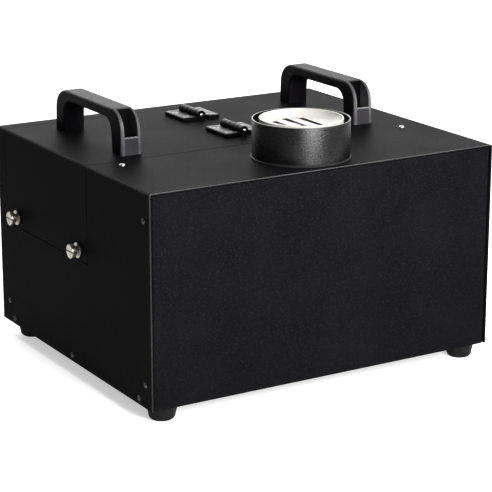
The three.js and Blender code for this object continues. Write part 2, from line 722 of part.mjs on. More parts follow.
add('rear_hinge_fixed_leaf', makeLeaf(1, hingeYs[1]), finish.mouldedBlack)
const pinHalf = hinge.length / 2 + hinge.pinReach
hingeYs.forEach((y, i) => {
  const pin = rod('y', [centreLineX, y, hingeZ], hinge.pinRadius, -pinHalf, pinHalf, medium)
  add(`${['front', 'rear'][i]}_hinge_pin`, pin, finish.brightSteel)
})

// Thumb screws: a slotted head, a collar, a flange and a shank, which a ring keeps in the hatch
const thumbSeat = left - touchGap
const collarFace = thumbSeat - thumb.flangeThickness
const headBack = collarFace - thumb.collarLength
const headFace = headBack - thumb.headLength
const ringFace = innerLeft + thumb.travel + ring.spare
const grooveRadius = thumb.shankRadius - thumb.grooveDepth
const grooveStart = ringFace - ring.play
const grooveEnd = ringFace + ring.thickness + ring.play
function makeThumbScrew(y) {
  const body = turned('x', [0, y, thumbZ], [
    [0, headFace], [thumb.headRadius - thumb.edge, headFace], [thumb.headRadius, headFace + thumb.edge],
    [thumb.headRadius, headBack - thumb.edge], [thumb.headRadius - thumb.edge, headBack],
    [thumb.collarRadius, headBack], [thumb.collarRadius, collarFace], [thumb.flangeRadius, collarFace],
    [thumb.flangeRadius, thumbSeat], [thumb.shankRadius, thumbSeat], [thumb.shankRadius, grooveStart],
    [grooveRadius, grooveStart], [grooveRadius, grooveEnd], [thumb.shankRadius, grooveEnd],
    [thumb.shankRadius, shankTipX], [0, shankTipX],
  ], fine)
  const slot = block(
    headFace - overrun, headFace + thumb.slotDepth,
    y - thumb.headRadius - overrun, y + thumb.headRadius + overrun,
    thumbZ - thumb.slotWidth / 2, thumbZ + thumb.slotWidth / 2,
  )
  return cut(body, slot)
}
function makeRing(y) {
  return turned('x', [0, y, thumbZ], [
    [grooveRadius + ring.play, ringFace], [ring.radius, ringFace], [ring.radius, ringFace + ring.thickness],
    [grooveRadius + ring.play, ringFace + ring.thickness], [grooveRadius + ring.play, ringFace],
  ], medium)
}
add('front_thumb_screw', makeThumbScrew(thumbYs[0]), finish.brightSteel)
add('rear_thumb_screw', makeThumbScrew(thumbYs[1]), finish.brightSteel)
add('front_retaining_ring', makeRing(thumbYs[0]), finish.blackSteel)
add('rear_retaining_ring', makeRing(thumbYs[1]), finish.blackSteel)

// Nozzle: the black outer tube, and the white cup with its slotted floor
const nozzlePlace = [centreLineX, nozzleY, 0]
const tubeInside = tube.radius - tube.wall
add('flame_tube', turned('z', nozzlePlace, [
  [tube.radius - tube.flange, tubeFoot], [tube.radius + tube.lipReach, tubeFoot],
  [tube.radius + tube.lipReach, tubeFoot + tube.lipHeight], [tube.radius, tubeFoot + tube.lipHeight],
  [tube.radius, tubeTop], [tubeInside, tubeTop], [tubeInside, tubeFoot + tube.wall],
  [tube.radius - tube.flange, tubeFoot + tube.wall], [tube.radius - tube.flange, tubeFoot],
], finest), finish.powderCoat)

const cupFoot = tubeFoot + tube.wall + touchGap
const cupFloor = cupTop - cup.floorDepth
function makeCup() {
  const under = cupFloor - cup.floorThickness
  const body = turned('z', nozzlePlace, [
    [cup.skirtRadius - cup.wall, cupFoot], [cup.skirtRadius + cup.ledge, cupFoot],
    [cup.skirtRadius + cup.ledge, cupFoot + cup.ledge], [cup.skirtRadius, cupFoot + cup.ledge],
    [cup.radius, cupTop], [cup.radius - cup.wall, cupTop], [cup.floorRadius, cupFloor], [0, cupFloor],
    [0, under], [cup.floorRadius + cup.wall, under],
    [cup.skirtRadius - cup.wall, under - (cup.skirtRadius - cup.wall * 2 - cup.floorRadius)],
    [cup.skirtRadius - cup.wall, cupFoot],
  ], finest)
  const slotLengths = [cup.sideSlotLength, cup.slotLength, cup.sideSlotLength]
  const slots = slotLengths.map((length, i) => {
    const x = centreLineX + (i - 1) * cup.slotPitch
    return block(
      x - cup.slotWidth / 2, x + cup.slotWidth / 2, nozzleY - length / 2, nozzleY + length / 2,
      under - overrun, cupFloor + overrun,
    )
  })
  return cut(body, ...slots)
}
add('burner_cup', makeCup(), finish.whiteEnamel)

// Burner housing: an open steel box under the nozzle, which holds the jet and the electrode
const housingFloor = underTop - housing.depth
const electrodeX = centreLineX + electrode.spread
function makeHousing() {
  const half = housing.size / 2
  const shell = block(
    centreLineX - half, centreLineX + half, nozzleY - half, nozzleY + half, housingFloor, underTop,
  )
  const inside = half - sheet
  const space = block(
    centreLineX - inside, centreLineX + inside, nozzleY - inside, nozzleY + inside,
    housingFloor + sheet, underTop + overrun,
  )
  const under = housingFloor - overrun
  const over = housingFloor + overrun
  const jetHole = rod('z', nozzlePlace, jet.radius + jet.play, under, over, medium)
  const insulatorHoleRadius = electrode.insulatorRadius + electrode.play
  const electrodeHole = rod('z', [electrodeX, nozzleY, 0], insulatorHoleRadius, under, over, medium)
  return cut(shell, space, jetHole, electrodeHole)
}
add('burner_housing', makeHousing(), finish.zinc)

const jetSeat = housingFloor + sheet + touchGap
const jetFoot = housingFloor - jet.tail
const jetTip = cupFloor - cup.floorThickness - jet.clearance
add('jet_nozzle', turned('z', nozzlePlace, [
  [jet.boreRadius, jetFoot], [jet.radius, jetFoot], [jet.radius, jetSeat], [jet.baseRadius, jetSeat],
  [jet.baseRadius, jetSeat + jet.baseHeight], [jet.radius, jetSeat + jet.baseHeight],
  [jet.radius, jetTip - jet.radius], [jet.boreRadius * 1.5, jetTip], [jet.boreRadius, jetTip],
  [jet.boreRadius, jetFoot],
], medium), finish.brass)

const insulatorTop = housingFloor + electrode.insulatorAbove
const insulatorFoot = housingFloor - electrode.insulatorBelow
const electrodeTip = cupFloor - cup.floorThickness - electrode.tipClearance
add('electrode_insulator', turned('z', [electrodeX, nozzleY, 0], [
  [electrode.radius + electrode.play, insulatorFoot], [electrode.insulatorRadius, insulatorFoot],
  [electrode.insulatorRadius, insulatorTop], [electrode.radius + electrode.play, insulatorTop],
  [electrode.radius + electrode.play, insulatorFoot],
], medium), finish.ceramic)
const electrodeFoot = insulatorFoot - electrode.insulatorRadius
add('ignition_electrode', rod(
  'z', [electrodeX, nozzleY, 0], electrode.radius, electrodeFoot, electrodeTip, coarse,
), finish.brightSteel)

// Gas cans, which lie in a cradle with their stems in the manifold on the fire wall
const manifoldFront = fireWallY + sheet + touchGap
const manifoldRear = manifoldFront + manifold.depth
const canFront = manifoldRear + touchGap
const stemTipY = canFront - can.stemLength
const canShoulder = canFront + can.neckLength
const canBodyFront = canShoulder + can.shoulder
const canRear = canBodyFront + can.bodyLength
const canBevel = can.shoulder / 3
function makeCan(x) {
  return turned('y', [x, 0, canZ], [
    [can.boreRadius, stemTipY], [can.stemRadius, stemTipY], [can.stemRadius, canFront],
    [can.neckRadius, canFront], [can.neckRadius, canShoulder],
    [can.radius - canBevel, canShoulder + canBevel], [can.radius, canBodyFront],
    [can.radius, canRear - can.baseEdge], [can.radius - can.baseEdge, canRear],
    [0, canRear], [0, canRear - can.wall], [can.radius - can.baseEdge, canRear - can.wall],
    [can.radius - can.wall, canRear - can.baseEdge], [can.radius - can.wall, canBodyFront],
    [can.radius - canBevel - can.wall, canShoulder + canBevel + can.wall],
    [can.neckRadius - can.wall, canShoulder + can.wall], [can.neckRadius - can.wall, canFront + can.wall],
    [can.boreRadius, canFront + can.wall], [can.boreRadius, stemTipY],
  ], fine)
}
add('left_gas_can', makeCan(canXs[0]), finish.canPaint)
add('right_gas_can', makeCan(canXs[1]), finish.canPaint)

function makeManifold() {
  const bar = block(
    canXs[0] - manifold.endReach, canXs[1] + manifold.endReach, manifoldFront, manifoldRear,
    canZ - manifold.height / 2, canZ + manifold.height / 2,
  )
  const socketRadius = can.stemRadius + can.stemPlay
  const socketEnd = manifoldRear - manifold.socketDepth
  const sockets = canXs.map((x) => (
    rod('y', [x, 0, canZ], socketRadius, socketEnd, manifoldRear + overrun, medium)
  ))
  return cut(bar, ...sockets)
}
add('can_manifold', makeManifold(), finish.zinc)

const pusherFront = canRear + touchGap
const pusherRear = pusherFront + pusher.thickness
const uprightFront = pusherRear + pusherSpring.length
const cradleLeft = canXs[0] - cradle.sideReach
const cradleRight = canXs[1] + cradle.sideReach
function makeCradle() {
  const foot0 = trayTop + touchGap
  const ribTop = canZ - cradle.ribLow
  const ribs = [canBodyFront + cradle.frontInset, canRear - cradle.rearInset].map((y) => (
    block(cradleLeft, cradleRight, y, y + cradle.rib, foot0, ribTop)
  ))
  const uprightRear = uprightFront + cradle.upright
  const uprightTop = canZ + cradle.uprightAbove
  const plate = block(cradleLeft, cradleRight, canBodyFront, uprightRear, foot0, foot0 + cradle.plate)
  const upright = block(cradleLeft, cradleRight, uprightFront, uprightRear, foot0, uprightTop)
  const nests = canXs.map((x) => rod('y', [x, 0, canZ], can.radius + cradle.play, canFront, canRear, fine))
  return cut(join(plate, upright, ...ribs), ...nests)
}
add('can_cradle', makeCradle(), finish.mouldedBlack)

add('can_pusher', block(
  canXs[0] - pusher.endReach, canXs[1] + pusher.endReach, pusherFront, pusherRear,
  canZ - pusher.halfHeight, canZ + pusher.halfHeight,
), finish.zinc)
canXs.forEach((x, i) => {
  const coils = spring(
    'y', [x, 0, canZ], pusherSpring.radius, pusherSpring.wire, pusherSpring.turns, pusherRear, uprightFront,
  )
  add(`${['left', 'right'][i]}_pusher_spring`, coils, finish.brightSteel)
})

// Solenoid valve, bolted through the fire wall by its inlet stub
const valveRear = fireWallY - touchGap
const valveFront = valveRear - valve.depth
const valveTop = canZ + valve.height / 2
const valveRight = valveX + valve.width / 2
const valveMiddleY = (valveFront + valveRear) / 2
const outletEnd = valveRight + valve.outletReach
add('solenoid_valve', join(
  block(valveX - valve.width / 2, valveRight, valveFront, valveRear, canZ - valve.height / 2, valveTop),
  rod('y', [valveX, 0, canZ], valve.stubRadius, valveMiddleY, manifoldFront - touchGap, medium),
  rod('x', [0, valveMiddleY, canZ], valve.outletRadius, valveX, outletEnd, medium),
), finish.brass)

const plungerPlace = [valveX, valveMiddleY, 0]
const coilFoot = valveTop + touchGap
const coilTop = coilFoot + coil.height
const boreTop = coilTop - coil.capHeight
add('solenoid_coil', cut(
  block(valveX - coil.width / 2, valveX + coil.width / 2, valveFront, valveRear, coilFoot, coilTop),
  rod('z', plungerPlace, plunger.radius + coil.play, coilFoot - overrun, boreTop, medium),
  rod('z', plungerPlace, coil.ventRadius, boreTop - overrun, coilTop + overrun, coarse),
), finish.mouldedBlack)
const plungerFoot = valveTop + touchGap
const plungerTop = plungerFoot + plunger.length
add('valve_plunger', rod(
  'z', plungerPlace, plunger.radius, plungerFoot, plungerTop, medium,
), finish.brightSteel)
add('valve_spring', spring(
  'z', plungerPlace, valveSpring.radius, valveSpring.wire, valveSpring.turns, plungerTop, boreTop,
), finish.brightSteel)

// Gas pipe, from the valve's outlet round to the foot of the jet
function makePipe() {
  const startX = outletEnd + touchGap
  const endZ = jetFoot - touchGap
  const path = new THREE.CatmullRomCurve3([
    new THREE.Vector3(startX, valveMiddleY, canZ),
    new THREE.Vector3(startX + pipe.run / 2, valveMiddleY, canZ),
    new THREE.Vector3(centreLineX - pipe.run, (valveMiddleY + nozzleY) / 2, endZ - pipe.drop * 2),
    new THREE.Vector3(centreLineX, nozzleY, endZ - pipe.drop),
    new THREE.Vector3(centreLineX, nozzleY, endZ),
  ])
  const section = new THREE.Shape().absarc(0, 0, pipe.radius, 0, Math.PI * 2)
  const settings = { steps: pipe.steps, curveSegments: 4, extrudePath: path, bevelEnabled: false }
  return solid(new THREE.ExtrudeGeometry(section, settings))
}
add('gas_pipe', makePipe(), finish.copper)

// Ignition transformer, on the tray in front of the fire wall
function makeTransformer() {
  const foot0 = trayTop + touchGap
  const x = transformer.setRight
  const body = prismZ(rectangle(
    x - transformer.width / 2, x + transformer.width / 2,
    nozzleY - transformer.depth / 2, nozzleY + transformer.depth / 2,
  ), foot0, foot0 + transformer.height)
  const terminals = [-1, 1].map((side) => rod(
    'z', [x + side * transformer.terminalPitch / 2, nozzleY, 0], transformer.terminalRadius,
    foot0 + transformer.height - overrun, foot0 + transformer.height + transformer.terminalHeight, medium,
  ))
  return join(body, ...terminals)
}
add('ignition_transformer', makeTransformer(), finish.mouldedBlack)

// Power supply, on the tray behind the fire wall, with its terminal strip on top
function makeSupply() {
  const foot0 = trayTop + touchGap
  const x1 = innerRight - supply.sideInset
  const x0 = x1 - supply.width
  const y1 = insideRearFace - supply.rearInset
  const y0 = y1 - supply.depth
  const body = block(x0, x1, y0, y1, foot0, foot0 + supply.height)
  const notch = block(
    x0 - overrun, x1 + overrun, y1 - supply.strip, y1 + overrun,
    foot0 + supply.strip, foot0 + supply.height + overrun,
  )
  return cut(body, notch)
}
add('power_supply', makeSupply(), finish.zinc)

// Control board, on standoffs behind the rear panel
function makeBoard() {
  const z = top - board.row
  const y1 = insideRearFace - board.behindPanel
  const y0 = y1 - board.thickness
  const x0 = columnMiddle - board.width / 2
  const x1 = columnMiddle + board.width / 2
  const plate = block(x0, x1, y0, y1, z - board.height / 2, z + board.height / 2)
  const chips = [-1, 0, 1].map((i) => {
    const x = columnMiddle + i * board.chip * 2
    return block(
      x - board.chip / 2, x + board.chip / 2, y0 - board.chipHeight, y0 + board.thickness / 2,
      z - board.chip / 2, z + board.chip / 2,
    )
  })
  const standoffs = [x0 + board.standoffInset, x1 - board.standoffInset].map((x) => rod(
    'y', [x, 0, z], board.standoffRadius, y0 + board.thickness / 2, insideRearFace - touchGap, coarse,
  ))
  return join(plate, ...chips, ...standoffs)
}
add('control_board', makeBoard(), finish.circuitGreen)

// Display window, with a lip behind the panel
function makeWindow() {
  const halfWidth = display.width / 2
  const halfHeight = display.height / 2
  const pane = block(
    columnMiddle - halfWidth, columnMiddle + halfWidth, insideRearFace - display.thickness / 2,
    rearFace + display.proud, displayZ - halfHeight, displayZ + halfHeight,
  )
  const lip = block(
    columnMiddle - halfWidth - display.lip, columnMiddle + halfWidth + display.lip,
    insideRearFace - display.thickness, insideRearFace - touchGap,
    displayZ - halfHeight - display.lip, displayZ + halfHeight + display.lip,
  )
  return join(pane, lip)
}
add('display_window', makeWindow(), finish.smokedWindow)

// Menu buttons, each kept in by a flange behind the panel
buttonPlaces.forEach(([x, z], i) => {
  const flangeFace = insideRearFace - touchGap
  const flangeBack = flangeFace - button.flange
  const stemEnd = flangeBack - button.stem
  add(`menu_button_${i + 1}`, turned('y', [x, 0, z], [
    [0, stemEnd], [button.stemRadius, stemEnd], [button.stemRadius, flangeBack],
    [button.flangeRadius, flangeBack], [button.flangeRadius, flangeFace], [button.radius, flangeFace],
    [button.radius, rearFace + button.proud], [0, rearFace + button.proud],
  ], medium), finish.mouldedBlack)
})

// Data sockets in and out: a flange, a round body, and pins in the bore
const flangeSeat = rearFace + touchGap
function makeDataSocket([x, z]) {
  const face = flangeSeat + dataSocket.flange
  const halfWidth = dataSocket.width / 2
  const halfHeight = dataSocket.height / 2
  const flange = block(x - halfWidth, x + halfWidth, flangeSeat, face, z - halfHeight, z + halfHeight)
  const body = rod('y', [x, 0, z], dataSocket.bodyRadius, face - dataSocket.bodyLength, face, fine)
  const bore = rod('y', [x, 0, z], dataSocket.boreRadius, face - dataSocket.boreDepth, face + overrun, fine)
  const boreFloor = face - dataSocket.boreDepth
  const pinFoot = boreFloor - dataSocket.pinRadius
  const pins = Array.from({ length: dataSocket.pins }, (_, i) => {
    const angle = (i / dataSocket.pins) * Math.PI * 2 - Math.PI / 2
    const px = x + dataSocket.pinCircle * Math.cos(angle)
    const pz = z + dataSocket.pinCircle * Math.sin(angle)
    return rod('y', [px, 0, pz], dataSocket.pinRadius, pinFoot, boreFloor + dataSocket.pinLength, coarse)
  })
  return join(cut(join(flange, body), bore), ...pins)
}
add('data_in_socket', makeDataSocket(dataPlaces[0]), finish.blackSteel)
add('data_out_socket', makeDataSocket(dataPlaces[1]), finish.blackSteel)

// Mains sockets in and out: a flange, a moulded body, and three blades in the bore
function makeMainsSocket([x, z]) {
  const face = flangeSeat + mainsSocket.flange
  const halfWidth = mainsSocket.width / 2
  const halfHeight = mainsSocket.height / 2
  const flange = block(x - halfWidth, x + halfWidth, flangeSeat, face, z - halfHeight, z + halfHeight)
  const body = block(
    x - mainsSocket.bodyWidth / 2, x + mainsSocket.bodyWidth / 2, face - mainsSocket.bodyLength, face,
    z - mainsSocket.bodyHeight / 2, z + mainsSocket.bodyHeight / 2,
  )
  const x0 = x - mainsSocket.boreWidth / 2
  const x1 = x + mainsSocket.boreWidth / 2
  const z0 = z - mainsSocket.boreHeight / 2
  const z1 = z + mainsSocket.boreHeight / 2
  const boreFloor = face - mainsSocket.boreDepth
  const bore = prismY(outline([
    [x0, z0], [x1, z0], [x1, z1 - mainsSocket.corner], [x1 - mainsSocket.corner, z1],
    [x0 + mainsSocket.corner, z1], [x0, z1 - mainsSocket.corner],
  ]), boreFloor, face + overrun)
  const blades = [-1, 0, 1].map((i) => {
    const middle = x + i * mainsSocket.bladePitch
    return block(
      middle - mainsSocket.blade / 2, middle + mainsSocket.blade / 2,
      boreFloor - mainsSocket.blade, boreFloor + mainsSocket.bladeLength,
      z - mainsSocket.bladeHeight / 2, z + mainsSocket.bladeHeight / 2,
    )
  })
  return join(cut(join(flange, body), bore), ...blades)
}
add('mains_in_socket', makeMainsSocket(mainsPlaces[0]), finish.mouldedBlack)
add('mains_out_socket', makeMainsSocket(mainsPlaces[1]), finish.mouldedBlack)

// Power switch: a frame in the panel, and a rocker that tips in it
const rockerAxisY = flangeSeat + rocker.frameFlange - rocker.waist
function makeRockerFrame() {
  const [x, z] = rockerPlace
  const face = flangeSeat + rocker.frameFlange
  const flange = block(
    x - rocker.frameWidth / 2, x + rocker.frameWidth / 2, flangeSeat, face,
    z - rocker.frameHeight / 2, z + rocker.frameHeight / 2,
  )
  const body = block(
    x - rocker.openWidth / 2 - sheet, x + rocker.openWidth / 2 + sheet, face - rocker.bodyLength, face,
    z - rocker.openHeight / 2 - sheet, z + rocker.openHeight / 2 + sheet,
  )
  const space = block(
    x - rocker.openWidth / 2, x + rocker.openWidth / 2, face - rocker.openDepth, face + overrun,
    z - rocker.openHeight / 2, z + rocker.openHeight / 2,
  )
  return cut(join(flange, body), space)
}
add('rocker_frame', makeRockerFrame(), finish.mouldedBlack)

const rockerPivot = new THREE.Group()
rockerPivot.position.set(rockerPlace[0], rockerAxisY, rockerPlace[1])
rockerPivot.rotation.x = THREE.MathUtils.degToRad(-rocker.tilt)
machine.add(rockerPivot)
const halfRocker = rocker.height / 2
const halfHeel = rocker.heelHeight / 2
add('power_rocker', prismX(outline([
  [-rocker.waist, -halfRocker], [rocker.crest, -halfRocker], [rocker.waist, 0], [rocker.crest, halfRocker],
  [-rocker.waist, halfRocker], [-rocker.heel, halfHeel], [-rocker.heel, -halfHeel],
]), -rocker.width / 2, rocker.width / 2), finish.redPlastic, rockerPivot)

// Arming switch: a lock body, and the key with the barrel that it turns
const lockFace = flangeSeat + lock.flange
function makeLock() {
  const [x, z] = lockPlace
  const bodyEnd = lockFace - lock.bodyLength
  const body = turned('y', [x, 0, z], [
    [0, bodyEnd], [lock.bodyRadius, bodyEnd], [lock.bodyRadius, flangeSeat],
    [lock.radius, flangeSeat], [lock.radius, lockFace], [0, lockFace],
  ], fine)
  const boreEnd = lockFace - lock.barrelLength - lock.play
  const bore = rod('y', [x, 0, z], lock.barrelRadius + lock.play, boreEnd, lockFace + overrun, fine)
  return cut(body, bore)
}
add('key_lock', makeLock(), finish.brightSteel)

function makeKey() {
  const [x, z] = lockPlace
  const barrel = rod('y', [x, 0, z], lock.barrelRadius, lockFace - lock.barrelLength, lockFace, fine)
  const bowStart = lockFace + lock.neckLength
  const bowEnd = bowStart + lock.bowLength
  const halfThickness = lock.bowThickness / 2
  const neck = block(
    x - halfThickness, x + halfThickness, lockFace - lock.neckLength, bowStart + lock.bowCorner,
    z - lock.neckWidth / 2, z + lock.neckWidth / 2,
  )
  const bow = prismX(
    rectangle(bowStart, bowEnd, z - lock.bowWidth / 2, z + lock.bowWidth / 2, lock.bowCorner),
    x - halfThickness, x + halfThickness,
  )
  const ringHole = rod('x', [0, bowEnd - lock.bowCorner, z], lock.ringHole, x - overrun, x + overrun, coarse)
  return cut(join(barrel, neck, bow), ringHole)
}
add('arming_key', makeKey(), finish.brightSteel)

// The frame's origin is on the floor, under the middle of everything, thumb screws and key included
const reachLeft = left - headFace
const reachRear = lockFace + lock.neckLength + lock.bowLength - rear
machine.position.set(reachLeft / 2, -reachRear / 2, 0)

export default machine
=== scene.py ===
# The looks of a stage flame machine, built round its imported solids.
# Metres, in the frame of the solids: X runs right along the front, Y runs back, Z runs up.

import json
import math

import bmesh
import bpy
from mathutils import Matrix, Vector


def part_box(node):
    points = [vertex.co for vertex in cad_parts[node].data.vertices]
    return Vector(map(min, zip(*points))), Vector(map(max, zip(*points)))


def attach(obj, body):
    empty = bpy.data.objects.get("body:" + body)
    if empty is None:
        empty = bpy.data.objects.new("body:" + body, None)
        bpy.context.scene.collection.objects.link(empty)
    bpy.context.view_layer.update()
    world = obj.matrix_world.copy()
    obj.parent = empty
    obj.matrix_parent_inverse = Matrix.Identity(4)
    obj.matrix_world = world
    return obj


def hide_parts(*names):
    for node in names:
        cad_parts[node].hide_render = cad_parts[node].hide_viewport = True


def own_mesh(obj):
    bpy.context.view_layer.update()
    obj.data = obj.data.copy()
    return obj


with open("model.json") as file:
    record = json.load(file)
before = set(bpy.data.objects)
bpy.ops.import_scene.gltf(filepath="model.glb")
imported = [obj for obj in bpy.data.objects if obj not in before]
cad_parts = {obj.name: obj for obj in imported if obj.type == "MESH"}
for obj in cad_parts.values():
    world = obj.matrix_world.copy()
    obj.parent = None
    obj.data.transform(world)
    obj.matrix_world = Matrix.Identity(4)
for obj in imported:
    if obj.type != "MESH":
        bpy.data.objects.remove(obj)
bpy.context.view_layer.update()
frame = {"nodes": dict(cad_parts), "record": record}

MM = 0.001
TINY = 0.001 * MM  # points nearer than this are one
OVERRUN = 5 * MM  # how far a cutter goes past what it cuts

BODY_OF = {
    node: body
    for body, nodes in frame["record"]["behaviour"]["bodies"].items()
    for node in nodes
}


# places that the solids give


def middle(node):
    low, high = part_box(node)
    return (low + high) / 2


cover_low, cover_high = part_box("cover_shell")
hatch_low, hatch_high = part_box("hatch_panel")
tube_low, tube_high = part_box("flame_tube")
left_low, left_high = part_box("left_handle")
LEFT, RIGHT = cover_low.x, cover_high.x
FRONT, REAR = cover_low.y, cover_high.y
BOTTOM, TOP = cover_low.z, cover_high.z
NOZZLE = middle("flame_tube")
ROCKER = middle("power_rocker")
HINGE_X, HINGE_Z = middle("front_hinge_pin").xz
HANDLES = (middle("left_handle") + middle("right_handle")) / 2  # midway between the two
HANDLE_OUT = HANDLES.x - middle("left_handle").x
HANDLE_HALF = (left_high.y - left_low.y) / 2
HANDLE_FOOT = left_low.z
FOOT_PLACES = ("front_left", "front_right", "rear_left", "rear_right")
DATA_SOCKETS = ("data_in_socket", "data_out_socket")
MAINS_SOCKETS = ("mains_in_socket", "mains_out_socket")

# sizes that a box doesn't give, as the solids have them

SHEET = 2 * MM  # the thickness of the sheet steel
BEND = 3 * MM  # the outside radius of a bend
SEAM = 0.8 * MM  # the gap round the hatch
SHEET_EDGE = 0.35 * MM  # how far a sheet's edges are rounded
PANEL_EDGE = 0.3 * MM  # and the rear panel's, which has many holes
FLAME_HOLE_RADIUS = 48 * MM
THUMB_HOLE_RADIUS = 3.2 * MM
CUP_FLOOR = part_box("burner_cup")[1].z - 9 * MM
SLOT_WIDTH = 6 * MM
SLOT_PITCH = 18.5 * MM
SLOTS = [  # the cup's slots: middle in x, and half the length
    (NOZZLE.x + i * SLOT_PITCH, half * MM) for i, half in ((-1, 30), (0, 37), (1, 30))
]
LEAF_THICKNESS = 4.6 * MM
LEAF_HALF = 25 * MM  # half the length of a hinge's leaf
LEAF_SCREW_OUT = 17 * MM  # from the pin to a leaf's screws
LEAF_SCREW_ALONG = 14 * MM  # from the leaf's middle to its screws
KNUCKLES = 5
KNUCKLE = 10 * MM  # from the start of one knuckle to the next
KNUCKLE_GAP = 0.4 * MM
HEAD_SIDES = 28  # of a small screw's head

# the rear panel's holes: radius in mm and number of sides, or width and height in mm
ROUND_HOLES = (
    ("data_in_socket", 12.1, 48), ("data_out_socket", 12.1, 48), ("menu_button_1", 4.4, 32),
    ("menu_button_2", 4.4, 32), ("menu_button_3", 4.4, 32), ("menu_button_4", 4.4, 32),
    ("key_lock", 9.3, 32),
)
SQUARE_HOLES = (
    ("mains_in_socket", 32, 23), ("mains_out_socket", 32, 23), ("display_window", 70.8, 26.8),
    ("rocker_frame", 19.2, 28.8),
)


# node trees: sums of sockets, and one way to add any other node


class Wire:
    """A socket of a node tree. Sums of wires and numbers add the Math nodes that work them out."""

    def __init__(self, tree, socket):
        self.tree, self.socket = tree, socket

    def maths(self, operation, first, second):
        return self.tree.node("ShaderNodeMath", {"operation": operation}, {0: first, 1: second})

    def __add__(self, other):
        return self.maths("ADD", self, other)

    def __radd__(self, other):
        return self.maths("ADD", other, self)

    def __sub__(self, other):
        return self.maths("SUBTRACT", self, other)

    def __rsub__(self, other):
        return self.maths("SUBTRACT", other, self)

    def __mul__(self, other):
        return self.maths("MULTIPLY", self, other)

    def __rmul__(self, other):
        return self.maths("MULTIPLY", other, self)

    def __truediv__(self, other):
        return self.maths("DIVIDE", self, other)

    def __pow__(self, other):
        return self.maths("POWER", self, other)


class Tree:
    """A node tree with one way to add a node: its kind, its settings, then its inputs."""

    def __init__(self, nodes):
        self.nodes = nodes

    def node(self, kind, settings=None, inputs=None, output=0):
        made = self.nodes.nodes.new(kind)
        for setting, value in (settings or {}).items():
            setattr(made, setting, value)
        for key, value in (inputs or {}).items():
            self.feed(made.inputs[key], value)
        return Wire(self, made.outputs[output]) if made.outputs else None

    def feed(self, socket, value):
        if isinstance(value, Wire):
            self.nodes.links.new(value.socket, socket)
        else:
            socket.default_value = value

    def split(self, vector):
        """The three parts of a vector."""
        parts = self.node("ShaderNodeSeparateXYZ", None, {"Vector": vector}).socket.node.outputs
        return [Wire(self, part) for part in parts]

    def between(self, value, low, high, first=0.0, last=1.0, ease="LINEAR"):
        """Goes from first to last as the value goes from low to high, and stays there beyond."""
        return self.node(
            "ShaderNodeMapRange",
            {"interpolation_type": ease},
            {"Value": value, "From Min": low, "From Max": high, "To Min": first, "To Max": last},
        )


def grey(level):
    return (level, level, level, 1)


class Finish(Tree):
    """A material that is built from patterns on the piece's own coordinates."""

    def __init__(self, name):
        self.material = bpy.data.materials.new(name)
        self.material.use_nodes = True
        super().__init__(self.material.node_tree)
        self.nodes.nodes.clear()
        self.place = self.node("ShaderNodeTexCoord", output="Object")

    def axes(self):
        return self.split(self.place)

    def absolute(self, value):
        return self.node("ShaderNodeMath", {"operation": "ABSOLUTE"}, {0: value})

    def stretched(self, x, y, z):
        return self.node("ShaderNodeMapping", None, {"Vector": self.place, "Scale": (x, y, z)})

    def noise(self, scale, detail=3.0, roughness=0.5, place=None):
        return self.node("ShaderNodeTexNoise", None, {
            "Vector": place or self.place, "Scale": scale, "Detail": detail,
            "Roughness": roughness,
        })

    def cells(self, scale, feature, output="Distance"):
        return self.node(
            "ShaderNodeTexVoronoi",
            {"feature": feature},
            {"Vector": self.place, "Scale": scale},
            output,
        )

    def spread(self, noise, first=0.0, last=1.0):
        """Stretches a noise to its full range, because most of it lies between 0.3 and 0.7."""
        return self.between(noise, 0.3, 0.7, first, last)

    def mixed(self, share, first, second):
        return self.node(
            "ShaderNodeMix", {"data_type": "RGBA"}, {0: share, 6: first, 7: second}, 2
        )

    def bump(self, height, depth, strength):
        inputs = {"Height": height, "Distance": depth, "Strength": strength}
        return self.node("ShaderNodeBump", None, inputs)

    def shade(self, **sockets):
        """Sets the shader's sockets, with a space in a name written as an underscore."""
        shader = self.node(
            "ShaderNodeBsdfPrincipled",
            None,
            {name.replace("_", " "): value for name, value in sockets.items()},
        )
        self.node("ShaderNodeOutputMaterial", None, {"Surface": shader})
        return self.material


# finishes


def powder_coat():
    """The case's black paint, with a painted highlight in grey along its top, front and left edges.
    """
    coat = Finish("powder_coat")
    grain = coat.noise(620, 2.5, 0.6)
    peel = coat.noise(240, 2.0)
    cloud = coat.noise(14, 4.0, 0.6)
    speck = coat.between(coat.noise(480, 2.0), 0.55, 0.72)
    colour = coat.mixed(
        coat.spread(cloud), (0.0022, 0.0022, 0.0025, 1), (0.0032, 0.0032, 0.0036, 1)
    )
    colour = coat.mixed(speck * 0.45, colour, grey(0.011))
    x, y, z = coat.axes()
    above = coat.between(z, TOP - 1.2 * MM, TOP - 0.5 * MM)
    before = coat.between(y, FRONT + 1.2 * MM, FRONT + 0.5 * MM)
    beside = coat.between(x, LEFT + 2.6 * MM, LEFT + 1.2 * MM)
    bend_top = coat.between(z, TOP - 3 * MM, TOP - 1.6 * MM)
    bend_side = coat.between(x, LEFT + 3 * MM, LEFT + 1.6 * MM)
    # painted highlight: grey along the top front edge, the left front edge and the top left bend,
    # in patches
    edge_highlight = above * before + beside * before * 0.35 + bend_top * bend_side * 0.5
    edge_highlight = edge_highlight * coat.between(cloud, 0.2, 0.6, 0.5, 1.0)
    return coat.shade(
        Base_Color=coat.mixed(edge_highlight, colour, grey(0.038)),
        Roughness=coat.spread(grain, 0.46, 0.6) + coat.spread(cloud, -0.03, 0.03),
        Specular_IOR_Level=0.004,
        Normal=coat.bump(grain * 0.7 + peel * 0.6, 0.35 * MM, 0.7),
    )


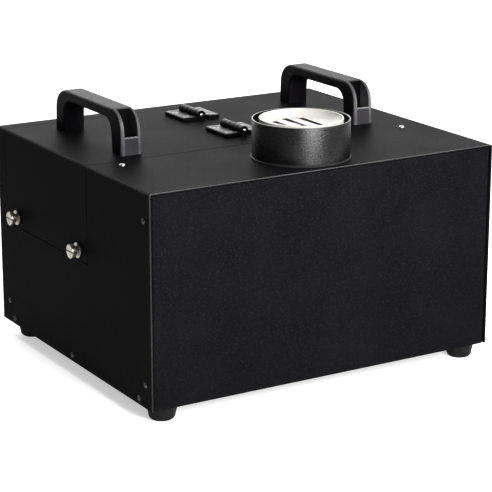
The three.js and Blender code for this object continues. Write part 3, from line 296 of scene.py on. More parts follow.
def tube_black():
    """The tube's black paint, with fine rings round it, and duller on the lip at its foot."""
    coat = Finish("tube_black")
    streak = coat.noise(1, 3.0, 0.6, coat.stretched(30, 30, 2200))
    grain = coat.noise(650, 2.0, 0.6)
    height = coat.axes()[2]
    lip = coat.between(height, tube_low.z + 3 * MM, tube_low.z + 2 * MM)
    return coat.shade(
        Base_Color=coat.mixed(coat.between(streak, 0.35, 0.7), grey(0.0012), grey(0.003)),
        Roughness=coat.spread(streak, 0.25, 0.33) + coat.spread(grain, -0.05, 0.05) + lip * 0.4,
        Specular_IOR_Level=0.22,
        Normal=coat.bump(streak * 0.5 + grain * 1.2, 0.35 * MM, 0.8),
    )


def moulded_black():
    plastic = Finish("moulded_black")
    grain = plastic.noise(1500, 2.0, 0.6)
    flow = plastic.noise(30, 4.0, 0.55)
    colour = plastic.mixed(
        plastic.between(flow, 0.35, 0.7), (0.0018, 0.0016, 0.002, 1), (0.0036, 0.0033, 0.0039, 1)
    )
    return plastic.shade(
        Base_Color=colour,
        Roughness=plastic.spread(flow, 0.32, 0.42),
        Specular_IOR_Level=0.032,
        Normal=plastic.bump(grain, 0.05 * MM, 0.5),
    )


def handle_black():
    """The handles' plastic, with painted highlights on the end faces, rims and sills of their
    pockets and painted shade inside them.
    """
    plastic = Finish("handle_black")
    grain = plastic.noise(700, 3.0, 0.65)
    flow = plastic.noise(30, 4.0, 0.55)
    x, y, z = plastic.axes()
    across = plastic.absolute(plastic.absolute(x - HANDLES.x) - HANDLE_OUT)
    along = plastic.absolute(y - HANDLES.y)
    rise = z - HANDLE_FOOT
    end = plastic.between(along, HANDLE_HALF - 24 * MM, HANDLE_HALF - 20 * MM)
    face = plastic.between(along, HANDLE_HALF - 3.4 * MM, HANDLE_HALF - 2.8 * MM)
    # painted shade: the inside of each pocket, made near black
    inside = end * plastic.between(across, 9 * MM, 8.7 * MM) * (1 - face)
    # painted highlight on each pocket's side rims, brighter higher up
    rim_highlight = plastic.between(across, 8.6 * MM, 9 * MM) * plastic.between(across, 13.2 * MM, 12 * MM)
    rim_highlight = rim_highlight * end
    bend = plastic.between(rise, 8 * MM, 24 * MM, 0.4, 1.0)
    bend = bend * plastic.between(rise, 44 * MM, 36 * MM, 0.5, 1.0)
    # painted highlight on the sill at each pocket's mouth
    sill = plastic.between(rise, 19.2 * MM, 20 * MM) * face
    sill = sill * plastic.between(across, 9.2 * MM, 8.6 * MM)
    # the patches in which the painted highlights show
    highlight_patches = plastic.spread(flow, 0.55, 1.0)
    colour = plastic.mixed(
        plastic.between(flow, 0.35, 0.7), (0.0018, 0.0015, 0.002, 1), (0.0032, 0.0028, 0.0035, 1)
    )
    colour = plastic.mixed(plastic.between(grain, 0.5, 0.75) * 0.5, colour, grey(0.008))
    # painted light: lighter end faces, painted highlights on rims and sills, then painted shade
    # inside
    colour = plastic.mixed(face * highlight_patches * 0.6, colour, (0.034, 0.033, 0.036, 1))
    colour = plastic.mixed(rim_highlight * highlight_patches * bend, colour, (0.085, 0.083, 0.087, 1))
    colour = plastic.mixed(sill * highlight_patches, colour, (0.13, 0.127, 0.132, 1))
    colour = plastic.mixed(inside, colour, grey(0.0006))
    return plastic.shade(
        Base_Color=colour,
        Roughness=plastic.spread(grain, 0.42, 0.56) - rim_highlight * 0.12,
        Specular_IOR_Level=0.02,
        Normal=plastic.bump(grain, 0.3 * MM, 0.7),
    )


def foot_rubber():
    rubber = Finish("foot_rubber")
    grain = rubber.noise(1100, 3.0, 0.6)
    dust = rubber.between(rubber.noise(160, 4.0, 0.65), 0.5, 0.75)
    return rubber.shade(
        Base_Color=rubber.mixed(dust * 0.5, grey(0.0035), grey(0.008)),
        Roughness=rubber.spread(grain, 0.6, 0.78),
        Specular_IOR_Level=0.06,
        Normal=rubber.bump(grain, 0.08 * MM, 0.5),
    )


def black_steel():
    steel = Finish("black_steel")
    grain = steel.noise(700, 3.0)
    return steel.shade(
        Base_Color=steel.mixed(steel.between(grain, 0.4, 0.7), grey(0.01), grey(0.02)),
        Roughness=steel.spread(grain, 0.34, 0.46),
        Metallic=0.35,
        Normal=steel.bump(grain, 0.03 * MM, 0.4),
    )


def plated_steel(name, bright, dull):
    """Steel turned on a lathe and plated, with dull stains."""
    steel = Finish(name)
    turning = steel.noise(1, 3.0, 0.6, steel.stretched(3200, 500, 500))
    stain = steel.between(steel.noise(120, 3.0), 0.45, 0.75)
    return steel.shade(
        Base_Color=steel.mixed(stain, bright, dull),
        Roughness=steel.spread(turning, 0.2, 0.34) + stain * 0.08,
        Metallic=1.0,
        Normal=steel.bump(turning, 0.02 * MM, 0.35),
    )


def bright_steel():
    return plated_steel("bright_steel", (0.46, 0.45, 0.425, 1), (0.33, 0.32, 0.295, 1))


# a darker copy of bright_steel for the thumb screws and their ribs: painted shade
def thumb_steel():
    return plated_steel("thumb_steel", (0.25, 0.238, 0.21, 1), (0.15, 0.142, 0.122, 1))


def white_enamel():
    """The cup's enamel, browned by heat, with soot and painted shade round its slots."""
    enamel = Finish("white_enamel")
    cloud = enamel.noise(45, 4.0, 0.6)
    heat = enamel.between(enamel.noise(28, 5.0, 0.65), 0.52, 0.78)
    colour = enamel.mixed(
        enamel.spread(cloud), (0.3, 0.295, 0.281, 1), (0.26, 0.253, 0.237, 1)
    )
    colour = enamel.mixed(heat * 0.3, colour, (0.22, 0.195, 0.16, 1))
    x, y, z = enamel.axes()
    along = enamel.absolute(y - NOZZLE.y)
    # soot and painted shade: near black bands along the slots' edges on the cup's floor
    soot_and_shade = 0.0
    for slot_x, half in SLOTS:
        near = enamel.between(enamel.absolute(x - slot_x), 4.4 * MM, 3.4 * MM)
        soot_and_shade = near * enamel.between(along, half + 1.2 * MM, half) + soot_and_shade
    soot_and_shade = soot_and_shade * enamel.between(z, CUP_FLOOR + 2 * MM, CUP_FLOOR + 1 * MM)
    return enamel.shade(
        Base_Color=enamel.mixed(soot_and_shade, colour, grey(0.006)),
        Roughness=enamel.spread(cloud, 0.34, 0.5),
        Specular_IOR_Level=0.5,
        Normal=enamel.bump(enamel.noise(420, 2.0), 0.04 * MM, 0.3),
    )


def zinc_plate():
    zinc = Finish("zinc_plate")
    spangle = zinc.cells(110, "F1", "Color")
    edge = zinc.between(zinc.cells(110, "DISTANCE_TO_EDGE"), 0.0, 0.06)
    shade = zinc.node("ShaderNodeSeparateColor", None, {"Color": spangle}, "Red")
    dull = zinc.noise(20, 4.0, 0.6)
    colour = zinc.mixed(shade, (0.42, 0.435, 0.45, 1), (0.56, 0.575, 0.59, 1))
    colour = zinc.mixed(zinc.between(dull, 0.45, 0.75) * 0.4, colour, (0.36, 0.36, 0.355, 1))
    return zinc.shade(
        Base_Color=zinc.mixed(1 - edge, colour, (0.4, 0.41, 0.42, 1)),
        Roughness=zinc.between(shade, 0.0, 1.0, 0.34, 0.52),
        Metallic=0.9,
        Normal=zinc.bump(shade * 0.5 + dull, 0.02 * MM, 0.4),
    )


# zinc blackened as soot and as painted shade, for the dark seen through the cup's slots, with bare
# patches
def sooty_zinc():
    soot_and_shade = Finish("sooty_zinc")
    cloud = soot_and_shade.noise(60, 4.0, 0.6)
    bare = soot_and_shade.between(soot_and_shade.noise(140, 4.0, 0.65), 0.6, 0.75)
    return soot_and_shade.shade(
        Base_Color=soot_and_shade.mixed(
            bare * 0.4, soot_and_shade.mixed(cloud, grey(0.004), grey(0.012)), grey(0.06)
        ),
        Roughness=soot_and_shade.spread(cloud, 0.7, 0.9),
        Metallic=bare * 0.5,
        Specular_IOR_Level=0.1,
        Normal=soot_and_shade.bump(cloud, 0.1 * MM, 0.4),
    )


def aluminium():
    metal = Finish("aluminium")
    brushing = metal.noise(1, 4.0, 0.6, metal.stretched(60, 2400, 2400))
    return metal.shade(
        Base_Color=metal.mixed(metal.spread(brushing), grey(0.5), grey(0.62)),
        Roughness=metal.spread(brushing, 0.28, 0.42),
        Metallic=1.0,
        Normal=metal.bump(brushing, 0.02 * MM, 0.4),
    )


def warm_metal(name, bright, dull):
    """Brass or copper, with tarnish."""
    metal = Finish(name)
    tarnish = metal.between(metal.noise(90, 5.0, 0.65), 0.42, 0.72)
    turning = metal.noise(1, 2.0, 0.5, metal.stretched(600, 600, 2600))
    return metal.shade(
        Base_Color=metal.mixed(tarnish, bright, dull),
        Roughness=metal.between(tarnish, 0.0, 1.0, 0.24, 0.45),
        Metallic=1.0,
        Normal=metal.bump(turning, 0.02 * MM, 0.3),
    )


def brass():
    return warm_metal("brass", (0.62, 0.45, 0.18, 1), (0.42, 0.29, 0.11, 1))


def copper():
    return warm_metal("copper", (0.68, 0.33, 0.2, 1), (0.38, 0.17, 0.1, 1))


def ceramic():
    glaze = Finish("ceramic")
    cloud = glaze.noise(220, 4.0, 0.6)
    return glaze.shade(
        Base_Color=glaze.mixed(
            glaze.between(cloud, 0.4, 0.7), (0.8, 0.78, 0.72, 1), (0.7, 0.66, 0.58, 1)
        ),
        Roughness=glaze.spread(cloud, 0.25, 0.4),
        Coat_Weight=0.3,
        Normal=glaze.bump(cloud, 0.03 * MM, 0.3),
    )


def circuit_green():
    board = Finish("circuit_green")
    tracks = board.node("ShaderNodeTexBrick", {"offset": 0.5}, {
        "Vector": board.place, "Scale": 160, "Mortar Size": 0.035, "Brick Width": 0.9,
        "Row Height": 0.3,
    }, "Fac")
    cloud = board.noise(60, 3.0)
    colour = board.mixed(board.spread(cloud), (0.012, 0.075, 0.03, 1), (0.018, 0.1, 0.042, 1))
    return board.shade(
        Base_Color=board.mixed(tracks, colour, (0.05, 0.2, 0.09, 1)),
        Roughness=board.spread(cloud, 0.3, 0.45),
        Coat_Weight=0.25,
        Normal=board.bump(tracks, 0.05 * MM, 0.4),
    )


def red_plastic():
    """The rocker's plastic, with a bar for on above its middle and a ring for off below."""
    plastic = Finish("red_plastic")
    grain = plastic.noise(900, 2.0)
    colour = plastic.mixed(plastic.spread(grain), (0.42, 0.018, 0.014, 1), (0.5, 0.03, 0.02, 1))
    x, _, z = plastic.axes()
    across = x - ROCKER.x
    above, below = z - (ROCKER.z + 6 * MM), z - (ROCKER.z - 6 * MM)
    bar = plastic.between(plastic.absolute(across), 0.7 * MM, 0.45 * MM)
    bar = bar * plastic.between(plastic.absolute(above), 2.4 * MM, 2.1 * MM)
    distance = (across * across + below * below) ** 0.5
    ring = plastic.between(plastic.absolute(distance - 1.9 * MM), 0.6 * MM, 0.35 * MM)
    return plastic.shade(
        Base_Color=plastic.mixed(bar + ring, colour, grey(0.7)),
        Roughness=plastic.spread(grain, 0.28, 0.38),
        Normal=plastic.bump(grain, 0.02 * MM, 0.4),
    )


def smoked_window():
    pane = Finish("smoked_window")
    haze = pane.noise(90, 4.0, 0.6)
    return pane.shade(
        Base_Color=pane.mixed(
            pane.between(haze, 0.4, 0.7), (0.006, 0.008, 0.01, 1), (0.012, 0.015, 0.018, 1)
        ),
        Roughness=pane.spread(haze, 0.06, 0.14),
        Coat_Weight=0.6,
        Normal=pane.bump(haze, 0.01 * MM, 0.2),
    )


def can_paint():
    paint = Finish("can_paint")
    cloud = paint.noise(50, 4.0, 0.6)
    scuff = paint.between(paint.noise(1, 5.0, 0.7, paint.stretched(500, 60, 500)), 0.6, 0.72)
    colour = paint.mixed(paint.spread(cloud), (0.5, 0.51, 0.53, 1), (0.58, 0.59, 0.6, 1))
    return paint.shade(
        Base_Color=paint.mixed(scuff * 0.5, colour, (0.3, 0.3, 0.31, 1)),
        Roughness=paint.spread(cloud, 0.28, 0.36) + scuff * 0.12,
        Metallic=0.7,
        Coat_Weight=0.3,
        Normal=paint.bump(scuff, 0.02 * MM, 0.3),
    )


LOOKS = {
    make.__name__: make()
    for make in (
        powder_coat, tube_black, moulded_black, handle_black, foot_rubber, black_steel,
        bright_steel, thumb_steel, white_enamel, zinc_plate, sooty_zinc, aluminium, brass, copper,
        ceramic, circuit_green, red_plastic, smoked_window, can_paint,
    )
}


# making meshes


def applied(obj):
    """Turns an object's modifiers into plain mesh."""
    seen = obj.evaluated_get(bpy.context.evaluated_depsgraph_get())
    mesh = bpy.data.meshes.new_from_object(seen)
    obj.modifiers.clear()
    spare, obj.data = obj.data, mesh
    bpy.data.meshes.remove(spare)
    return obj


def made(name, bm):
    """An object of a mesh whose doubles are merged and whose faces point outwards."""
    bmesh.ops.remove_doubles(bm, verts=bm.verts, dist=TINY)
    bmesh.ops.recalc_face_normals(bm, faces=bm.faces)
    mesh = bpy.data.meshes.new(name)
    bm.to_mesh(mesh)
    bm.free()
    obj = bpy.data.objects.new(name, mesh)
    bpy.context.scene.collection.objects.link(obj)
    return smooth(obj)


def smooth(obj, angle=32):
    """Shades a mesh smooth, apart from edges sharper than an angle in degrees."""
    obj.data.polygons.foreach_set("use_smooth", [True] * len(obj.data.polygons))
    obj.data.set_sharp_from_angle(angle=math.radians(angle))
    return obj


def set_along(axis, across, up, along):
    """A point from its place in an outline and its place along the axis."""
    return {"x": (along, across, up), "y": (across, along, up), "z": (across, up, along)}[axis]


def rounded(corners, steps=8):
    """The outline of corners (across, up, radius), where a radius makes a round corner."""
    points = []
    for i, corner in enumerate(corners):
        here = Vector(corner[:2])
        radius = corner[2] if len(corner) > 2 else 0
        if radius == 0:
            points.append(here)
            continue
        back = (Vector(corners[i - 1][:2]) - here).normalized()
        ahead = (Vector(corners[(i + 1) % len(corners)][:2]) - here).normalized()
        half = back.angle(ahead) / 2
        centre = here + (back + ahead).normalized() * radius / math.sin(half)
        start = (here + back * radius / math.tan(half) - centre).normalized()
        end = (here + ahead * radius / math.tan(half) - centre).normalized()
        points += [centre + start.slerp(end, step / steps) * radius for step in range(steps + 1)]
    return points


def rectangle(left, right, low, high, radius=0):
    corners = ((left, low), (right, low), (right, high), (left, high))
    return rounded([(*corner, radius) for corner in corners], 6)


def arc(across, along, radius, first, last, steps):
    """Points of a round edge about its centre, from one angle to another in degrees."""
    turns = [math.radians(first + (last - first) * i / steps) for i in range(steps + 1)]
    return [(across + radius * math.cos(turn), along + radius * math.sin(turn)) for turn in turns]


def outline(start, *points):
    """Points of a turned piece's profile, from radii and places past the start, both in mm."""
    return [(radius * MM, start + past * MM) for radius, past in points]


def prism(name, axis, points, low, high):
    """An outline drawn out along an axis, from low to high."""
    bm = bmesh.new()
    ends = [
        [bm.verts.new(set_along(axis, u, v, along)) for u, v in points] for along in (low, high)
    ]
    count = len(points)
    for i in range(count):
        j = (i + 1) % count
        bm.faces.new((ends[0][i], ends[0][j], ends[1][j], ends[1][i]))
    for end in ends:
        bm.faces.new(end)
    return made(name, bm)


def block(name, low, high):
    return prism(name, "z", rectangle(low[0], high[0], low[1], high[1]), low[2], high[2])


def lathe(name, axis, centre, profile, sides=48):
    """A turned piece. The profile's points are (radius, place along the axis)."""
    across, up = {"x": (1, 2), "y": (0, 2), "z": (0, 1)}[axis]
    bm = bmesh.new()
    rings = []
    for radius, along in profile:
        ring = []
        for i in range(sides):
            angle = math.tau * i / sides
            u = centre[across] + radius * math.cos(angle)
            v = centre[up] + radius * math.sin(angle)
            ring.append(bm.verts.new(set_along(axis, u, v, along)))
        rings.append(ring)
    open_profile = profile[0][0] <= TINY and profile[-1][0] <= TINY
    for k in range(len(rings) - (1 if open_profile else 0)):
        low, high = rings[k], rings[(k + 1) % len(rings)]
        for i in range(sides):
            j = (i + 1) % sides
            bm.faces.new((low[i], low[j], high[j], high[i]))
    return made(name, bm)


def rod(name, axis, centre, radius, low, high, sides=32):
    return lathe(name, axis, centre, [(0, low), (radius, low), (radius, high), (0, high)], sides)


def combine(obj, others, operation):
    """Cuts or joins a mesh with others, which are used up, and merges faces that lie flat."""
    for other in others:
        step = obj.modifiers.new("combine", "BOOLEAN")
        step.operation, step.object, step.solver = operation, other, "EXACT"
    bpy.context.view_layer.update()
    applied(obj)
    for other in others:
        bpy.data.objects.remove(other)
    bm = bmesh.new()
    bm.from_mesh(obj.data)
    bmesh.ops.remove_doubles(bm, verts=bm.verts, dist=TINY)
    bmesh.ops.dissolve_limit(bm, angle_limit=math.radians(0.4), verts=bm.verts, edges=bm.edges)
    bm.to_mesh(obj.data)
    bm.free()
    return smooth(obj)


def cut(obj, *cutters):
    return combine(obj, cutters, "DIFFERENCE")


def join(obj, *others):
    return combine(obj, others, "UNION")


def soften(obj, width, segments=2, angle=40):
    """Rounds the edges of a mesh, and evens out its shading."""
    edges = obj.modifiers.new("edges", "BEVEL")
    edges.width, edges.segments = width, segments
    edges.limit_method, edges.angle_limit = "ANGLE", math.radians(angle)
    edges.miter_outer = "MITER_ARC"
    shading = obj.modifiers.new("shading", "WEIGHTED_NORMAL")
    shading.keep_sharp = True
    smooth(obj, 180)
    bpy.context.view_layer.update()
    return applied(obj)


def finished(obj, look, *nodes, body=None, slot=None):
    """Gives a piece its material, its body, and the solids that it stands for. The slot is not
    used.
    """
    obj.data.materials.clear()
    obj.data.materials.append(LOOKS[look])
    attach(obj, body or BODY_OF[nodes[0]])
    if nodes:
        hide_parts(*nodes)
    return obj


def dressed(node, look, width, slot=None):
    """A copy of a solid's mesh with its edges rounded."""
    bm = bmesh.new()
    bm.from_mesh(frame["nodes"][node].data)
    bmesh.ops.remove_doubles(bm, verts=bm.verts, dist=TINY)
    bmesh.ops.dissolve_limit(bm, angle_limit=math.radians(1), verts=bm.verts, edges=bm.edges)
    obj = made(node + "_fine", bm)
    if width > 0:
        soften(obj, width)
    return finished(obj, look, node, slot=slot)


# casing


def make_cover():
    corners = [
        (LEFT, BOTTOM), (LEFT, TOP, BEND), (RIGHT, TOP, BEND), (RIGHT, BOTTOM),
        (RIGHT - SHEET, BOTTOM), (RIGHT - SHEET, TOP - SHEET, BEND - SHEET),
        (LEFT + SHEET, TOP - SHEET, BEND - SHEET), (LEFT + SHEET, BOTTOM),
    ]
    cover = prism("cover_sheet", "y", rounded(corners), FRONT, REAR)
    hatch_space = block(
        "space",
        (LEFT - OVERRUN, hatch_low.y - SEAM, hatch_low.z - SEAM),
        (hatch_high.x + SEAM, hatch_high.y + SEAM, TOP + OVERRUN),
    )
    flame_hole = rod("hole", "z", NOZZLE, FLAME_HOLE_RADIUS, TOP - 3 * SHEET, TOP + SHEET, 64)
    cut(cover, hatch_space, flame_hole)
    soften(cover, SHEET_EDGE)
    finished(cover, "powder_coat", "cover_shell")


def make_hatch():
    side = hatch_high.x
    corners = [
        (LEFT, hatch_low.z), (LEFT, TOP, BEND), (side, TOP), (side, TOP - SHEET),
        (LEFT + SHEET, TOP - SHEET, BEND - SHEET), (LEFT + SHEET, hatch_low.z),
    ]
    hatch = prism("hatch_sheet", "y", rounded(corners), hatch_low.y, hatch_high.y)
    near, far = LEFT - OVERRUN, LEFT + OVERRUN
    holes = [
        rod("hole", "x", middle(f"{end}_thumb_screw"), THUMB_HOLE_RADIUS, near, far)
        for end in ("front", "rear")
    ]
    cut(hatch, *holes)
    soften(hatch, SHEET_EDGE)
    finished(hatch, "powder_coat", "hatch_panel")


def panel_outline(low, high, face, inward):
    """The outline of a panel with both side edges turned in."""
    end = face + inward * (high.y - low.y)
    back = face + inward * SHEET
    return rounded([
        (low.x, end), (low.x, face, BEND), (high.x, face, BEND), (high.x, end),
        (high.x - SHEET, end), (high.x - SHEET, back, BEND - SHEET),
        (low.x + SHEET, back, BEND - SHEET), (low.x + SHEET, end),
    ])


def make_front_panel():
    low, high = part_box("front_panel")
    panel = prism("front_sheet", "z", panel_outline(low, high, low.y, 1), low.z, high.z)
    soften(panel, SHEET_EDGE)
    finished(panel, "powder_coat", "front_panel")


def make_rear_panel():
    low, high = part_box("rear_panel")
    panel = prism("rear_sheet", "z", panel_outline(low, high, high.y, -1), low.z, high.z)
    near, far = high.y - SHEET - OVERRUN, high.y + OVERRUN
    cutters = []
    for node, radius, sides in ROUND_HOLES:
        cutters.append(rod("hole", "y", middle(node), radius * MM, near, far, sides))
    for node, wide, tall in SQUARE_HOLES:
        x, _, z = middle(node)
        side, up = wide / 2 * MM, tall / 2 * MM
        cutters.append(block("hole", (x - side, near, z - up), (x + side, far, z + up)))
    cut(panel, *cutters)
    soften(panel, PANEL_EDGE)
    finished(panel, "powder_coat", "rear_panel")


def make_foot(place):
    node = f"rubber_foot_{place}"
    edge, bottom = 6, 15.5
    profile = [
        *outline(0, (0, 9), (5.2, 9), (5.5, 8.7), (5.5, 0.5), (6, 0)),
        *outline(0, *arc(bottom - edge, edge, edge, -90, 0, 8)),
        *outline(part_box(node)[1].z, (17.7, -1), (18, -0.4), (17.6, 0), (0, 0)),
    ]
    foot = lathe(f"foot_{place}", "z", middle(node), profile, 64)
    finished(foot, "foot_rubber", node)


# handles


def make_handle(side):
    """A bridge with a pocket at each end. It is made too deep, then cut level with its feet."""
    node = f"{side}_handle"
    low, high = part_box(node)
    y0, y1, z0, z1 = low.y, high.y, low.z, high.z
    splay, leg, grip = 3 * MM, 25 * MM, 12.5 * MM
    outside, inside = 25 * MM, 17 * MM
    deep = z0 - 6 * MM
    arch = rounded([
        (y0, deep), (y0 + splay, z1, outside), (y1 - splay, z1, outside), (y1, deep),
        (y1 - leg, deep), (y1 - leg - splay, z1 - grip, inside),
        (y0 + leg + splay, z1 - grip, inside), (y0 + leg, deep),
    ], 12)
    handle = prism(f"{side}_handle_bridge", "x", arch, low.x, high.x)
    soften(handle, 4 * MM, segments=6, angle=50)
    pockets = [block(
        "below",
        (low.x - OVERRUN, y0 - OVERRUN, deep - OVERRUN),
        (high.x + OVERRUN, y1 + OVERRUN, z0),
    )]
    x, half = middle(node).x, 8.9 * MM
    sill, floor = z0 + 21 * MM, z0 + 10 * MM
    for tip, way in ((y0, 1), (y1, -1)):
        out, lip, back = tip - way * OVERRUN, tip + way * 3 * MM, tip + way * 20.5 * MM
        corners = [
            (out, sill), (lip, sill), (lip, floor), (back, floor, 3 * MM), (back, z1 + OVERRUN),
            (out, z1 + OVERRUN),
        ]
        pockets.append(prism("pocket", "x", rounded(corners, 5), x - half, x + half))
    cut(handle, *pockets)
    soften(handle, 0.8 * MM, segments=3, angle=55)
    finished(handle, "handle_black", node, slot="moulded_black")


# hinges


def make_leaf(which, side):
    """Side -1 is the leaf on the hatch, and side 1 the leaf on the cover."""
    node = f"{which}_hinge_{'moving' if side < 0 else 'fixed'}_leaf"
    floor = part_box(node)[0].z
    crest = floor + LEAF_THICKNESS
    y = middle(f"{which}_hinge_pin").y
    start, end = y - LEAF_HALF, y + LEAF_HALF
    inner, reach, outer = (HINGE_X + side * out * MM for out in (9.8, 20, 26))
    pin_line, bore = (HINGE_X, 0, HINGE_Z), 2.55 * MM
    slope = 1.2 * MM
    section = [
        (inner, floor), (outer, floor), (outer, crest - slope), (outer - side * slope, crest),
        (inner, crest),
    ]
    name = f"{which}_leaf_{'hatch' if side < 0 else 'cover'}"
    leaf = prism(name, "y", section, start, end)
    soften(leaf, 0.4 * MM)
    arm = [(HINGE_X, floor), (reach, floor), (reach, crest), (HINGE_X, crest)]
    parts = []
    for i in range(0 if side < 0 else 1, KNUCKLES, 2):
        near = start + i * KNUCKLE + KNUCKLE_GAP / 2
        far = near + KNUCKLE - KNUCKLE_GAP
        barrel = [
            *outline(near, (0, 0), (5.3, 0), (5.8, 0.5)),
            *outline(far, (5.8, -0.5), (5.3, 0), (0, 0)),
        ]
        parts.append(prism("arm", "y", arm, near, far))
        parts.append(lathe("barrel", "y", pin_line, barrel, 40))
    join(leaf, *parts)
    cutters = [rod("bore", "y", pin_line, bore, start - OVERRUN, end + OVERRUN)]
    sink = [
        *outline(floor - OVERRUN, (0, 0), (2.35, 0)),
        *outline(crest, (2.35, -2.2), (4.55, 0)),
        *outline(crest + OVERRUN, (4.55, 0), (0, 0)),
    ]
    for way in (-1, 1):
        spot = (HINGE_X + side * LEAF_SCREW_OUT, y + way * LEAF_SCREW_ALONG, 0)
        cutters.append(lathe("sink", "z", spot, sink, 32))
    cut(leaf, *cutters)
    finished(leaf, "moulded_black", node)


def make_pin(which):
    low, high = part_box(f"{which}_hinge_pin")
    dome = ((0, 0), (1.2, 0.15), (1.9, 0.45), (2.3, 0.8))
    far_dome = ((radius, -past) for radius, past in reversed(dome))
    profile = outline(low.y, *dome) + outline(high.y, *far_dome)
    pin = lathe(f"{which}_pin", "y", (HINGE_X, 0, HINGE_Z), profile, 32)
    finished(pin, "bright_steel", f"{which}_hinge_pin")


# thumb screws


def make_thumb_screw(which):
    node = f"{which}_thumb_screw"
    low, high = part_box(node)
    spot = middle(node)
    face = low.x
    ring_low, ring_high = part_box(f"{which}_retaining_ring")
    profile = [
        *outline(face, (0, 0.25), (5.5, 0.1), (7.7, 0), (8.35, 0.25), (8.6, 0.9), (8.6, 5.2)),
        *outline(face, (8.1, 5.8), (5.5, 5.8), (5.2, 6.1), (5.2, 8.9), (5.5, 9.2)),
        *outline(face, (8.8, 9.2), (9.2, 9.6), (9.2, 10.7), (8.9, 11), (2.8, 11)),
        *outline(ring_low.x, (2.8, -0.25), (2.2, -0.25)),
        *outline(ring_high.x, (2.2, 0.25), (2.8, 0.25)),
        *outline(high.x, (2.8, -0.8), (2, 0), (0, 0)),
    ]
    screw = lathe(f"{which}_thumb_head", "x", spot, profile, 64)
    deep, long, wide = 2 * MM, 24 * MM, 1.6 * MM
    slot = block(
        "slot",
        (face - OVERRUN, spot.y - long / 2, spot.z - wide / 2),
        (face + deep, spot.y + long / 2, spot.z + wide / 2),
    )
    cut(screw, slot)
    finished(screw, "thumb_steel", node, slot="bright_steel")


# nozzle


def make_tube():
    floor, top = tube_low.z, tube_high.z
    profile = [
        *outline(floor, (48, 0), (58.7, 0), (58.7, 1), (58.4, 1.3), (57.8, 1.4), (57.5, 1.8)),
        *outline(top, (57.5, -0.5), (57.3, -0.1), (57, 0), (56.4, 0), (56, -0.4)),
        *outline(floor, (56, 2), (55.5, 1.5), (48, 1.5)),
    ]
    tube = lathe("flame_tube_wall", "z", NOZZLE, profile, 128)
    finished(tube, "tube_black", "flame_tube", slot="powder_coat")


def make_cup():
    low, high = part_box("burner_cup")
    under = CUP_FLOOR - 1.2 * MM
    profile = [
        *outline(low.z, (45.6, 0), (51.1, 0), (51.1, 3.5), (47.6, 3.6)),
        *outline(CUP_FLOOR, (48.9, 0)),
        *outline(high.z, *arc(48.3, -1, 1, 0, 180, 10), (46.9, -2.2)),
        *outline(CUP_FLOOR, (40.6, 1.1), (39.2, 0.4), (37.8, 0), (0, 0)),
        *outline(under, (0, 0), (40.5, 0), (45.6, -5.1)),
    ]
    cup = lathe("burner_cup_dish", "z", NOZZLE, profile, 128)
    slots = []
    for x, half in SLOTS:
        opening = rectangle(
            x - SLOT_WIDTH / 2, x + SLOT_WIDTH / 2, NOZZLE.y - half, NOZZLE.y + half, 0.8 * MM
        )
        slots.append(prism("slot", "z", opening, under - OVERRUN, high.z + OVERRUN))
    cut(cup, *slots)
    finished(cup, "white_enamel", "burner_cup")


# screws, springs and other things that repeat


class Recipe(Tree):
    """A tree of Geometry Nodes with named sizes, which ends in plain mesh with a material."""

    def __init__(self, name, *sizes):
        super().__init__(bpy.data.node_groups.new(name, "GeometryNodeTree"))
        face = self.nodes.interface
        face.new_socket(name="Points", in_out="INPUT", socket_type="NodeSocketGeometry")
        for size in sizes:
            face.new_socket(name=size, in_out="INPUT", socket_type="NodeSocketFloat")
        face.new_socket(name="Material", in_out="INPUT", socket_type="NodeSocketMaterial")
        face.new_socket(name="Piece", in_out="OUTPUT", socket_type="NodeSocketGeometry")
        given = self.nodes.nodes.new("NodeGroupInput")
        self.given = {socket.name: Wire(self, socket) for socket in given.outputs if socket.name}

    def vector(self, x=0.0, y=0.0, z=0.0):
        return self.node("ShaderNodeCombineXYZ", None, {"X": x, "Y": y, "Z": z})

    def bar(self, x, y, z):
        return self.node("GeometryNodeMeshCube", None, {"Size": self.vector(x, y, z)})

    def cross(self, deep):
        """The two bars that cut a cross recess."""
        recess, groove = self.given["Recess"], self.given["Groove"]
        return self.bar(recess, groove, deep), self.bar(groove, recess, deep)

    def moved(self, geometry, **parts):
        return self.node("GeometryNodeTransform", None, {"Geometry": geometry, **parts})

    def lifted(self, geometry, height):
        return self.moved(geometry, Translation=self.vector(z=height))

    def less(self, whole, *cutters):
        """The whole less some cutters."""
        cutting = self.nodes.nodes.new("GeometryNodeMeshBoolean")
        cutting.operation, cutting.solver = "DIFFERENCE", "EXACT"
        self.nodes.links.new(whole.socket, cutting.inputs["Mesh 1"])
        for cutter in cutters:
            self.nodes.links.new(cutter.socket, cutting.inputs["Mesh 2"])
        return Wire(self, cutting.outputs["Mesh"])

    def facing(self, vector, axis):
        """A turn that brings an axis along a vector."""
        return self.node("FunctionNodeAlignRotationToVector", {"axis": axis}, {"Vector": vector})

    def placed(self, points, instance, turn):
        """A copy of the instance on every point."""
        return self.node(
            "GeometryNodeInstanceOnPoints",
            None,
            {"Points": points, "Instance": instance, "Rotation": turn},
        )

    def end(self, piece):
        """Puts the piece on every given point, with its own Z along the point's facing."""
        facing = self.node(
            "GeometryNodeInputNamedAttribute", {"data_type": "FLOAT_VECTOR"}, {"Name": "facing"}
        )
        copies = self.placed(self.given["Points"], piece, self.facing(facing, "Z"))
        plain = self.node("GeometryNodeRealizeInstances", None, {"Geometry": copies})
        painted = self.node(
            "GeometryNodeSetMaterial", None, {"Geometry": plain, "Material": self.given["Material"]}
        )
        last = self.nodes.nodes.new("NodeGroupOutput")
        self.nodes.links.new(painted.socket, last.inputs["Piece"])
        return self


